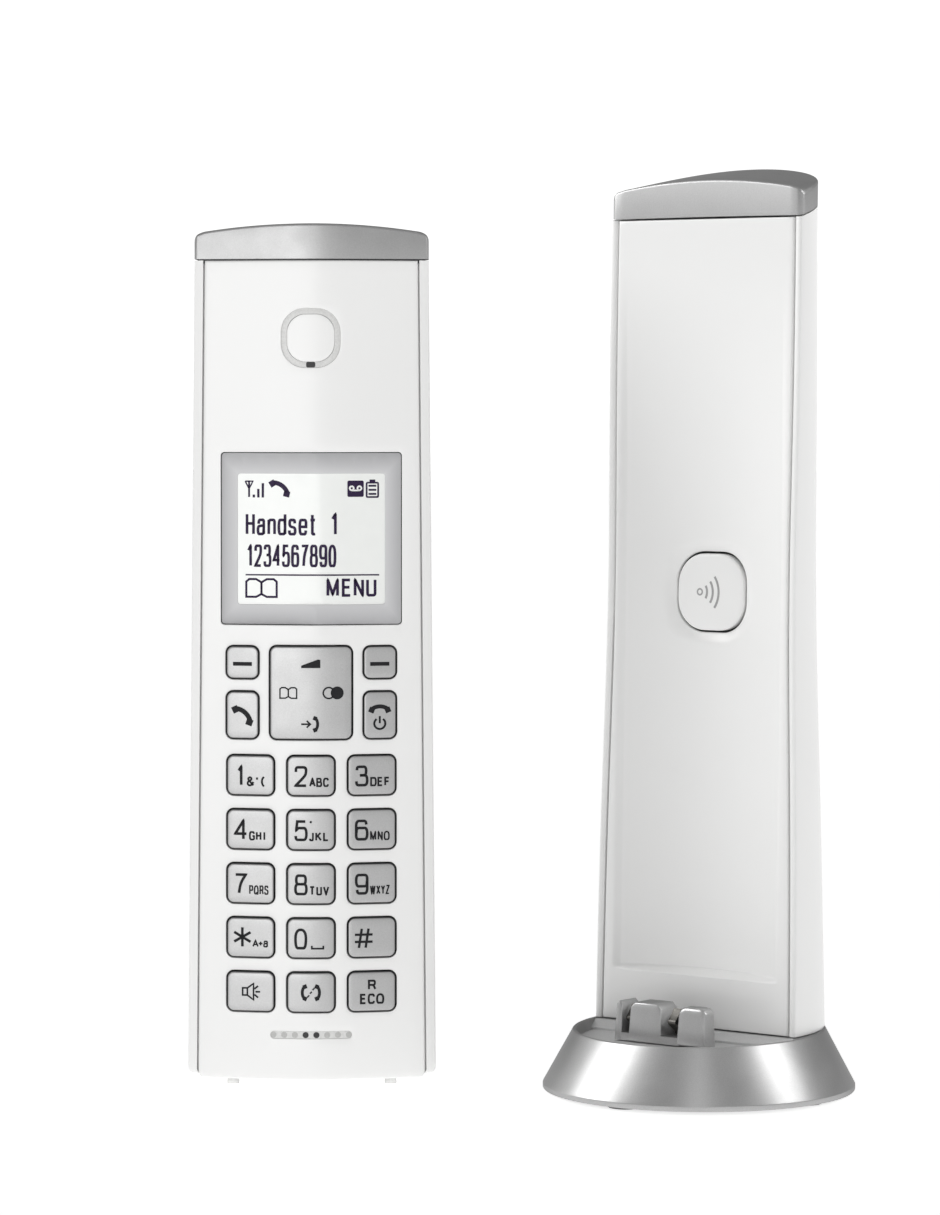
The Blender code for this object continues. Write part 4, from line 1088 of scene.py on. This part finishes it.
def handset_cap():
    half = handset_half(HANDSET_HEIGHT)
    rise = math.tan(math.radians(2.0))

    def top(x, y):
        edge = max(0.0, abs(x) - (half - 2.2)) / 2.2
        shoulder = 1.3 * (1 - math.sqrt(max(0.0, 1 - edge * edge)))
        return HANDSET_HEIGHT + CAP_SIDE + CAP_ARCH * (1 - (x / half) ** 2) + rise * y - shoulder + 0.25

    outline = cap_outline(half, lambda x: front_y(x, HANDSET_HEIGHT), 0.0, 0.8)
    cap = soft_block(outline, HANDSET_HEIGHT, top, lambda x, y, h: (x, y, h), fillet=0.55, grid=(41, 9))
    # A dark band just inside the seam under the cap is painted shade, which stands for the shadow in that seam.
    seam_shade_outline = [(x * 0.975, y * 0.97 - 0.2) for x, y in outline]
    seam_shade_band = skin([[(x, y, HANDSET_HEIGHT + lift) for x, y in seam_shade_outline] for lift in (-SEAM - 0.6, 0.05)])
    meshes = [(cap, "cap_silver"), (seam_shade_band, "dark")]
    piece("handset_top", meshes, HANDSET, "handset", ["handset_cap"])


def window():
    """The display: a printed silver frame over two flat flanks, and the glass sunk in it with its marks."""
    z, size = WINDOW
    lcd_z, lcd_size = LCD

    def frame_y(x, height):
        share = abs(x - 1.2) / (size[0] / 2)
        return front_y(0, height) * (1 - share) + front_y(size[0] / 2, height) * share + 0.35

    def glass_y(x, height):
        return frame_y(x, height) + 0.18 + 0.5 * max(0.0, 1 - abs(x - 1.2) / 5) ** 2

    shape = shrinking(size, 0.7, (0, z), 3, 24)
    edge = [(shape(distance), drop) for distance, drop in lip(0.15, 2)]
    opening = hole(lcd_size, 0.6, (0, lcd_z), radius=0.12, steps=4)
    xs = [1.19, 1.21, -17, -14, -10, -6, -2, 5, 9, 13, 17]
    bezel = pierced_sheet(edge, [opening], (xs, spread(97, 131.5, 16)), frame_y, lambda x, h: frame_y(x, h) + 1.0)
    lcd = [(rounded_rectangle((lcd_size[0] + 1, lcd_size[1] + 1), 0.3, (0, lcd_z), 2), 0.0)]
    glass = pierced_sheet(lcd, [], (xs, spread(100, 128, 8)), glass_y, lambda x, h: glass_y(x, h) + 0.6)
    meshes = [(bezel, "frame_silver"), (glass, "lcd")]
    for marks, height, material in ((display_marks(), 0.03, "segments"), (message_icon(), 0.045, "lcd")):
        meshes.append((join(*(lay_on(mark, glass_y, height) for mark in marks)), material))
    piece("display", meshes, HANDSET, "handset", ["display_window", "lcd_module"])


def display_marks():
    """What the display shows: a status row, two lines of text, a rule, and the two soft-key labels."""
    top, low = 123.0, 102.2
    yield stroke([(-13.0, top + 3.3), (-13.0, top)], 0.4)
    yield stroke([(-13.8, top + 3.3), (-13.0, top + 1.7), (-12.2, top + 3.3), (-13.8, top + 3.3)], 0.3)
    for i in range(3):
        x = -12.0 + 0.95 * i
        yield stroke([(x, top - 0.1), (x, top + 0.5 + 1.2 * i)], 0.5)
    yield receiver((-6.4, top + 2.0), 5.2, math.radians(-36))
    yield patch(rounded_rectangle((3.4, 3.4), 0.3, (9.3, top + 1.75), 2))
    yield stroke(rounded_rectangle((2.4, 3.0), 0.2, (12.8, top + 1.5), 2), 0.36, closed=True)
    yield stroke([(12.2, top + 3.4), (13.4, top + 3.4)], 0.5)
    for i in range(3):
        yield stroke([(12.0, top + 0.65 + 0.85 * i), (13.6, top + 0.65 + 0.85 * i)], 0.4)
    yield lettering("Handset 1", 4.7, (-13.8, 5.6), 115.0, 0.58)
    yield lettering("1234567890", 4.7, (-13.6, 5.3), 108.4, 0.56)
    yield stroke([(-13.75, 106.75), (14.2, 106.75)], 0.3)
    yield from open_book((-10.4, low + 1.8), 6.4, 3.7, 0.45)
    yield lettering("MENU", 3.8, (3.2, 13.6), low, 0.58)


def message_icon():
    """The light parts of the message icon: two reels joined by a line."""
    for x in (8.5, 10.1):
        yield stroke(arc((x, 124.85), 0.42, 0, 337, 9), 0.34, closed=True)
    yield stroke([(8.5, 124.4), (10.1, 124.4)], 0.34)


def open_book(centre, width, height, line):
    """An open book, seen as two facing pages."""
    x, z = centre
    half = width / 2
    for side in (-1, 1):
        page = ((0, 0.32), (0.35, 0.5), (0.8, 0.5), (1, 0.36), (1, -0.5), (0.35, -0.5), (0, -0.34))
        yield stroke([(x + side * half * u, z + height * v) for u, v in page], line, closed=True)


# ---------------------------------------------------------------- keys

def key_legends():
    """Marks of each key, as (key, mesh) pairs, around the key's middle."""
    letters = {"2": "ABC", "3": "DEF", "4": "GHI", "5": "JKL", "6": "MNO", "7": "PQRS", "8": "TUV", "9": "WXYZ"}
    low = -2.3
    for digit in "0123456789":
        span = (-3.0, -1.5) if digit == "1" else (-3.5, -0.75)
        yield digit, lettering(digit, 4.4, span, low, 0.57)
        if digit in letters:
            span = (-0.35, 3.3 if digit == "4" else 3.75)
            line = 0.31 if len(letters[digit]) == 4 else 0.34 if digit == "6" else 0.39
            yield digit, lettering(letters[digit], 1.95, span, low, line)
    yield "1", lettering("&'(", 2.1, (-0.9, 3.1), low, 0.42)
    yield "5", patch(round_loop((0.0, 1.7), 0.26, 12))
    for angle in (90, 30, 150):
        a = math.radians(angle)
        dx, dz = 2.0 * math.cos(a), 2.0 * math.sin(a)
        yield "star", stroke([(-1.75 - dx, 0.1 - dz), (-1.75 + dx, 0.1 + dz)], 0.56)
    yield "star", lettering("A", 1.6, (0.35, 1.55), low + 0.3, 0.32)
    yield "star", stroke([(1.7, low + 1.1), (2.5, low + 1.1)], 0.32)
    yield "star", stroke([(2.1, low + 1.5), (2.1, low + 0.7)], 0.32)
    yield "star", lettering("a", 1.9, (2.65, 3.65), low + 0.3, 0.32)
    yield "0", stroke([(0.2, -1.5), (0.2, -2.1), (2.6, -2.1), (2.6, -1.5)], 0.38)
    for x in (-2.35, -0.95):
        yield "hash", stroke([(x - 0.3, -2.1), (x + 0.3, 1.9)], 0.52)
    for z in (-0.85, 0.65):
        yield "hash", stroke([(-3.5, z), (0.2, z)], 0.5)
    yield "speaker", stroke([(-1.7, -0.75), (-0.7, -0.75), (-0.7, 0.75), (-1.7, 0.75)], 0.36, closed=True)
    yield "speaker", stroke([(-0.7, -0.75), (0.6, -1.7), (0.6, 1.7), (-0.7, 0.75)], 0.36)
    for angle in (-40, 0, 40):
        c, s = math.cos(math.radians(angle)), math.sin(math.radians(angle))
        yield "speaker", stroke([(0.1 + 0.9 * c, 0.9 * s), (0.1 + 1.9 * c, 1.9 * s)], 0.38)
    yield "intercom", receiver((-1.45, 0.0), 3.5, math.radians(90))
    yield "intercom", receiver((1.45, 0.0), 3.5, math.radians(-90))
    for x, z in ((-0.55, -0.75), (0.0, 0.0), (0.55, 0.75)):
        yield "intercom", stroke([(x - 0.2, z - 0.22), (x + 0.2, z + 0.22)], 0.32)
    yield "recall", lettering("R", 2.2, (-0.85, 0.85), 0.3, 0.44)
    yield "recall", lettering("ECO", 2.2, (-2.5, 2.6), -2.6, 0.44)
    for side in ("soft_left", "soft_right"):
        yield side, stroke([(-2.0, -0.3), (2.0, -0.3)], 0.8)
    yield "talk", receiver((0.2, 0.1), 5.6, math.radians(-42))
    yield "off", receiver((0.0, 1.35), 4.7)
    yield "off", stroke(arc((0, -1.75), 1.15, 125, 415, 18), 0.44)
    yield "off", stroke([(0, -1.7), (0, -0.2)], 0.42)


def navigation_legends():
    yield patch([(-2.0, 5.2), (2.0, 5.2), (2.0, 6.9), (1.5, 7.0), (-2.0, 5.7)])
    yield from open_book((-4.7, 0.0), 3.5, 2.2, 0.3)
    yield stroke(arc((3.75, 0.0), 1.15, 0, 345, 20), 0.34, closed=True)
    yield patch(round_loop((5.5, 0.0), 1.35, 24))
    yield stroke([(-2.0, -6.5), (-0.2, -6.5)], 0.36)
    yield stroke([(-0.85, -5.8), (-0.1, -6.5), (-0.85, -7.2)], 0.36)
    yield receiver((1.1, -6.5), 3.4, math.radians(-90))


def make_key(name, body, node, x, z, size, marks):
    """A silver key in a black skirt, following the front's slopes, with its marks printed on top. The black of the
    skirt and of the plate behind is painted shade for the gap round the key.
    """
    def surface(u, v):
        across, up = (u - x) / size[0], (v - z) / size[1]
        return front_y(u, v) - KEY_PROUD + 0.10 * (across * across + up * up)

    outline = shrinking(size, KEY_CORNER, (x, z))
    flange, rim = 0.6, 0.13
    skirt = soft_block(
        outline,
        0.0,
        lambda u, v: -surface(u, v) - 0.22,
        lambda u, v, h: (u, -h if h else FLANGE_BACK - 0.4, v),
        0.12,
    )
    plate = skin([[(u, y, v) for u, v in outline(-flange)] for y in (FLANGE_BACK - 0.5, FLANGE_BACK)])
    face = soft_block(
        lambda distance: outline(rim + distance),
        0.0,
        lambda u, v: -surface(u, v),
        lambda u, v, h: (u, -h if h else surface(u, v) + 0.5, v),
        0.28,
        (13, 7),
    )
    printed = []
    for mark in marks:
        for vert in mark.verts:
            vert.co.x += x
            vert.co.z += z
        printed.append(lay_on(mark, surface, 0.03, 0.06))
    # the skirt and plate are black as painted shade, which stands for the shadow in the gap round the key
    meshes = [(face, "key_silver"), (skirt, "gap"), (plate, "gap")]
    if printed:
        meshes.append((join(*printed), "ink"))
    piece(name, meshes, HANDSET, body, [node])


def keys():
    marks = {}
    for name, mark in key_legends():
        marks.setdefault(name, []).append(mark)
    for name, x, z, size in key_places():
        make_key(f"silver_key_{name}", f"key_{name}", f"key_{name}", x, z, size, marks.get(name, []))
    z, size = NAV_KEY
    make_key("silver_key_navigation", "key_navigation", "key_navigation", 0.0, z, size, list(navigation_legends()))


# ---------------------------------------------------------------- column

def back_curve(half, depth, count=49):
    """Round the back of the column, from its left front edge to its right one."""
    power = 2 / 2.3
    points = []
    for a in spread(math.pi, 0, count):
        c, s = math.cos(a), max(0.0, math.sin(a))
        points.append((math.copysign(abs(c) ** power, c) * half, s**power * depth))
    return points


def column_shell():
    """The column's white back: one bent wall with rounded front edges that close on the panel."""
    def section(z, rise):
        half, depth = column_half(z) - scoop(z), column_depth(z)
        outer = [(x, y) for x, y in back_curve(half, depth) if y > 0.7]
        inner = [(x, y) for x, y in back_curve(half - COLUMN_STRIP, depth - 1.5) if y > 0.7]
        corner = [(half, 0.55), (half - 0.10, 0.20), (half - 0.30, 0.04), (half - 0.6, 0.0)]
        corner += [(half - COLUMN_STRIP + 0.25, 0.0), (half - COLUMN_STRIP, 0.2)]
        points = [(-x, y) for x, y in reversed(corner)] + outer + corner + inner[::-1]
        return [(x, y, z + rise * y) for x, y in points]

    rings = [section(z, 0.0) for z in spread(0.3, COLUMN_HEIGHT - 6, 44)]
    rings.append(section(COLUMN_HEIGHT - SEAM, math.tan(CAP_UNDER)))
    piece("column_back", [(skin(rings), "white")], COLUMN, "base", ["column_rear_shell"], 50)


def panel_y(x, z):
    dx, dz = x / (BUTTON_SIZE[0] / 2 + 2.4), (z - BUTTON_Z) / (BUTTON_SIZE[1] / 2 + 2.4)
    distance = (abs(dx) ** 2.6 + abs(dz) ** 2.6) ** (1 / 2.6)
    dish = 0.75 * (1 - smoothstep((distance - 0.80) / 0.24))
    return hollow_share(z) * hollow_depth(x) + dish


def column_panel():
    """The column's front, with the hollow that the handset docks in and the opening for the button."""
    def at(distance):
        low, high = SEAM + distance, COLUMN_HEIGHT - SEAM - distance
        edge = COLUMN_STRIP + 1.6 * SEAM + distance
        sides = arch(lambda z: column_half(z) - scoop(z) - edge, column_half(high) - edge, low, high, 60, 25)
        half = column_half(low) - edge
        return sides + [(x, low) for x in spread(-half, half, 25)[1:-1]]

    outline = [(at(distance), drop) for distance, drop in lip(0.35, 3)]
    size = (BUTTON_SIZE[0] + 0.9, BUTTON_SIZE[1] + 0.9)
    opening = hole(size, BUTTON_CORNER, (0, BUTTON_Z), radius=0.2, steps=12)
    half = HOLLOW_HALF + HOLLOW_SLOPE
    xs = spread(-HOLLOW_HALF, HOLLOW_HALF, 39)
    xs += [s * x for x in spread(HOLLOW_HALF + 0.25, half, 8) for s in (-1, 1)]
    zs = [3, 6, 9, *spread(HOLLOW_LOW - 0.4, HOLLOW_LOW + LEDGE + 0.4, 10), *spread(15, 77, 32)]
    zs += [*spread(78, 105, 36), *spread(107, 166, 30)]

    def back(x, z):
        return hollow_share(z) * hollow_depth(x) + 1.6

    sheet = pierced_sheet(outline, [opening], (xs, zs), panel_y, back)
    piece("column_front", [(sheet, "white")], COLUMN, "base", ["column_front_panel"], 50)


def locator_button():
    """A wide soft-cornered button with a faint print: a dot and three arcs, like radio waves."""
    base = HOLLOW_SIDE + HOLLOW_CROWN

    outline = shrinking(BUTTON_SIZE, BUTTON_CORNER, (0, BUTTON_Z), 12)

    def surface(x, z):
        return base - 0.45 + 0.45 * ((x / 8.3) ** 2 + ((z - BUTTON_Z) / 8) ** 2) * 0.35

    button = soft_block(
        outline,
        0.0,
        lambda x, z: 20 - surface(x, z),
        lambda x, z, h: (x, 20 - h if h else base + 2.0, z),
        0.5,
        (15, 15),
    )
    flange = skin([[(x, base + y, z) for x, z in outline(-0.8)] for y in (1.85, 2.45)])
    plunger = skin([[(x, base + y, z) for x, z in round_loop((0, BUTTON_Z), 1.5, 24)] for y in (2.3, 3.5)])
    marks = [stroke(arc((-2.6, BUTTON_Z), 0.62, 0, 345, 16), 0.34, closed=True)]
    for i in range(3):
        reach = 30 + 3 * i
        marks.append(stroke(arc((-3.4, BUTTON_Z), 2.6 + 1.45 * i, -reach, reach, 10), 0.5))
    printed = lay_on(join(*marks), surface, 0.03)
    # the flange and plunger behind the button are black as painted shade for the gap round it
    meshes = [(button, "white"), (flange, "gap"), (plunger, "gap"), (printed, "faint_ink")]
    piece("locator_key", meshes, COLUMN, "locator_button", ["locator_button"])


def column_cap():
    """The column's silver cap: an arched wedge, flat in front and round behind, that rises to the back."""
    half, depth = column_half(COLUMN_HEIGHT), column_depth(COLUMN_HEIGHT)
    under, over = math.tan(CAP_UNDER), math.tan(math.radians(9.0))
    corner = 1.2
    outline = [(x, 0.5 * (1 - (x / (half - corner)) ** 2)) for x in spread(-half + corner, half - corner, 25)]
    outline += arc((half - corner, corner), corner, 270, 360)[1:]
    outline += [(x, y) for x, y in reversed(back_curve(half, depth, 61)) if y > corner + 0.4]
    outline += arc((-half + corner, corner), corner, 180, 270)[:-1]

    def top(x, y):
        edge = max(0.0, abs(x) - (half - 2.4)) / 2.4
        shoulder = 1.5 * (1 - math.sqrt(max(0.0, 1 - edge * edge)))
        return COLUMN_HEIGHT + CAP_SIDE + CAP_ARCH * (1 - (x / half) ** 2) + over * y - shoulder + 0.05

    def place(x, y, h):
        return x, y, h if h else COLUMN_HEIGHT + under * y

    cap = soft_block(outline, 0.0, top, place, 0.5, (41, 17))
    piece("column_top", [(cap, "cap_silver")], COLUMN, "base", ["column_cap"])


# ---------------------------------------------------------------- foot

def foot():
    """The turned foot with its rim, the sunk deck, and the step that the column stands on."""
    rim_in = RIM_RADIUS - 0.9
    deck_edge = rim_in - 1.0
    profile = [(0, DECK_Z), (deck_edge, DECK_Z), *arc((deck_edge, DECK_Z + 0.5), 0.5, 270, 340, 3)]
    profile += arc((rim_in + 0.35, RIM_Z - 0.3), 0.3, 160, 90, 3)
    profile += arc((RIM_RADIUS - 0.4, RIM_Z - 0.4), 0.4, 90, 30, 4)
    profile += arc((FOOT_RADIUS - 0.5, FOOT_LOW + 1.0), 0.5, 25, 0, 3)
    profile += arc((FOOT_RADIUS - 0.3, FOOT_LOW + 0.3), 0.3, 0, -90, 3)
    profile += [(FOOT_RADIUS - 1.6, FOOT_LOW), (RIM_RADIUS - 1.4, DECK_Z - 1.5), (0, DECK_Z - 1.5)]

    def tilt(y, z):
        return RIM_TILT * y * smoothstep((z - 4) / (RIM_Z - 4)) if z > DECK_Z + 0.2 else 0.0

    shell = lathe(profile, 160, tilt)
    (z_low, z_high), openings = JACK_HEIGHTS, []
    for x_low, x_high in JACK_WIDTHS:
        openings.append(block((x_low - SEAM, 13.0, z_low - SEAM), (x_high + SEAM, 45.0, z_high + SEAM)))
    shell = cut(shell, join(*openings))
    deck = lathe([(0, DECK_Z + 0.04), (deck_edge, DECK_Z + 0.04), (deck_edge, DECK_Z - 0.4), (0, DECK_Z - 0.4)])
    meshes = [(shell, "silver"), (deck, "deck_silver"), (deck_step(), "deck_silver")]
    piece("foot", meshes, FOOT, "base", ["foot_shell"])


def deck_step():
    """The low step under the column, with a sloping front."""
    x_offset, y_offset, step_z = COLUMN_OFFSET
    half, depth = column_half(0) - 0.3, column_depth(0) - 0.6

    def ring(z, front, shrink=0.0):
        points = [(x * (1 - shrink / half), y) for x, y in back_curve(half, depth, 33)]
        return [(x + x_offset, (y if y > 0.01 else front) + y_offset, z) for x, y in points]

    slope = [(-1.5, -2.75), (-1.35, -2.6), (-1.28, -2.35), (-0.1, -0.3), (-0.02, 0.0, 0.1)]
    return skin([ring(DECK_Z - 0.5, -2.9), *(ring(step_z + z, *rest) for z, *rest in slope)])


def cradle():
    """The charging block: three tapered posts on a low bar, with a bent contact in each gap, and a dark wall behind
    the slots that is painted shade for their shadowed insides.
    """
    y_low, y_high = -14.5, -8.2
    low, high = DECK_Z + 0.3, DECK_Z + 8.3
    floor = low + 1.6

    def post(left, right, corner, facets, depth=6.3, fillet=0.3):
        taper = min(0.3, (right - left) / 10)
        corner = min(corner, (right - left) / 2 - taper - 0.1)
        outline = [(left, low), (right, low)]
        outline += arc((right - taper - corner, high - corner), corner, 0, 90, facets)
        outline += arc((left + taper + corner, high - corner), corner, 90, 180, facets)

        def front(u, v):
            rise = max(0.0, (v - low) / (high - low))
            return -y_low - 0.7 * rise * rise

        return soft_block(outline, -y_low - depth, front, lambda u, v, h: (u, -h, v), fillet, (5, 7))

    posts = [post(-11.2, -9.5, 0.7, 1), post(-7.8, 0.4, 1.0, 1), post(4.1, 11.5, 1.7, 6, 3.6, 0.7)]
    bar = block((-11.15, y_low + 0.1, low), (5.0, y_high, floor), 0.4, 2)
    # the wall behind the slots is dark as painted shade, which stands for the shadow inside the slots
    back = block((-10.6, y_high - 0.9, floor - 0.5), (4.6, y_high - 0.3, high - 2.2))
    meshes = [(join(*posts, bar), "silver"), (back, "dark")]
    piece("charging_block", meshes, FOOT, "base", ["charging_cradle"], 50)
    for name, x, half in (("left", -8.65, 0.5), ("right", 2.25, 0.9)):
        contact(f"charge_contact_{name}", x, half, y_low, floor, high)


def contact(node, x, half, y_low, floor, high):
    """A bent spring blade: it comes up, bows to the front, and folds back at its tip."""
    bends = [(4.4, floor - 0.4), (4.3, floor + 0.6), (2.2, floor + 2.1), (1.2, floor + 2.9), (2.2, floor + 3.7)]
    path = rounded_path([*((y_low + depth, z) for depth, z in bends), (y_low + 3.6, high - 0.9)], 2)
    thick = 0.24
    rings = []
    for i, (y, z) in enumerate(path):
        before, after = path[max(0, i - 1)], path[min(len(path) - 1, i + 1)]
        along = Vector((after[0] - before[0], after[1] - before[1])).normalized()
        side = Vector((-along.y, along.x)) * thick / 2
        near, far = (y - side.x, z - side.y), (y + side.x, z + side.y)
        rings.append([(x - half, *near), (x + half, *near), (x + half, *far), (x - half, *far)])
    piece(f"{node}_blade", [(skin(rings), "contact")], FOOT, node, [node])


def rubber_feet():
    """Four round pads under the foot."""
    pad = soft_block(
        lambda distance: round_loop((0, 0), 3.6 - distance, 32),
        -0.85,
        lambda u, v: 0.0,
        lambda u, v, h: (u, -v, -h),
        0.2,
    )
    pads = copies(CIRCLE, pad, "rubber", Count=4, Radius=26.2)
    piece("foot_pads", [(pads, "rubber")], FOOT, "base", [f"rubber_foot_{i}" for i in range(1, 5)])


# ---------------------------------------------------------------- stage

def stage():
    """A plain pale floor that gives off a little light of its own."""
    bm = bmesh.new()
    bmesh.ops.create_grid(bm, x_segments=1, y_segments=1, size=6.0)
    floor = loose_object(bm, "floor")
    material = new_material("studio_floor", (0.85, 0.85, 0.85), 0.9, specular=0.1)
    shader_of(material).inputs["Emission Color"].default_value = (1.0, 1.0, 1.0, 1.0)
    shader_of(material).inputs["Emission Strength"].default_value = 0.75
    floor.data.materials.append(material)


def area_light(name, place, target, size, radiance, group):
    """A soft box that lights one group of pieces and isn't seen itself."""
    light = bpy.data.lights.new(name, "AREA")
    light.shape = "RECTANGLE"
    light.size, light.size_y = size
    light.energy = radiance * math.pi * size[0] * size[1]
    obj = bpy.data.objects.new(name, light)
    obj.location = place
    obj.rotation_euler = (Vector(target) - Vector(place)).to_track_quat("-Z", "Y").to_euler()
    obj.visible_camera = False
    obj.light_linking.receiver_collection = GROUPS[group]
    bpy.context.scene.collection.objects.link(obj)


def fade(tree, source, low, high, at_low, at_high):
    inputs = {"Value": source, "From Min": low, "From Max": high, "To Min": at_low, "To Max": at_high}
    return put(tree, "ShaderNodeMapRange", inputs, interpolation_type="SMOOTHSTEP").outputs["Result"]


def lights():
    """A grey room with a white sweep behind, and soft boxes to the left, the right and the front."""
    world = bpy.data.worlds.new("studio")
    bpy.context.scene.world = world
    world.use_nodes = True
    tree = world.node_tree
    background = tree.nodes["Background"]
    background.inputs["Color"].default_value = (1.0, 1.0, 1.0, 1.0)
    direction = put(tree, "ShaderNodeTexCoord").outputs["Generated"]
    axes = put(tree, "ShaderNodeSeparateXYZ", {"Vector": direction}).outputs
    behind = fade(tree, axes["Y"], 0.2, 0.7, 0.0, 1.0)
    low = fade(tree, axes["Z"], 0.085, 0.13, 0.8, 0.0)
    sweep = put(tree, "ShaderNodeMath", {0: behind, 1: low, 2: ROOM}, operation="MULTIPLY_ADD")
    tree.links.new(sweep.outputs["Value"], background.inputs["Strength"])
    handset, base = (-0.04, 0.0, 0.09), (0.04, 0.0, 0.05)
    area_light("handset_front", (-0.45, -1.1, 0.25), handset, (1.0, 0.8), 2.75, "handset")
    area_light("handset_right", (0.9, -0.2, 0.5), handset, (0.5, 0.6), 1.7, "handset")
    area_light("base_left", (-0.78, 0.12, 0.62), base, (0.6, 0.65), 5.8, "base")
    area_light("base_right", (0.80, -0.20, 0.66), base, (0.34, 0.5), 5.2, "base")
    area_light("base_front", (0.35, -1.0, 0.2), base, (0.5, 0.6), 0.3, "base")
    beside = (FOOT_MIDDLE.x - 0.005, -0.086, 0.10)
    area_light("base_strip", beside, (FOOT_MIDDLE.x + 0.022, -0.015, 0.10), (0.02, 0.17), 0.9, "base")


def camera():
    data = bpy.data.cameras.new("camera")
    data.lens = 133.3
    data.sensor_width = 36.0
    data.clip_start = 0.01
    obj = bpy.data.objects.new("camera", data)
    obj.location = (FOOT_MIDDLE.x - 0.0475, -0.928, 0.1485)
    obj.rotation_euler = (math.radians(90 - 2.96), 0, 0)
    bpy.context.scene.collection.objects.link(obj)
    bpy.context.scene.camera = obj
    bpy.context.scene.view_settings.view_transform = "Standard"


HANDSET_PIECES = (front_cover, earpiece_ring, microphone_strip, rear_cover, battery_door, handset_cap, window)
BASE_PIECES = (column_shell, column_panel, locator_button, column_cap, foot, cradle, rubber_feet)
for step in (camera, stage, lights, finish_inner_nodes, *HANDSET_PIECES, keys, *BASE_PIECES):
    step()
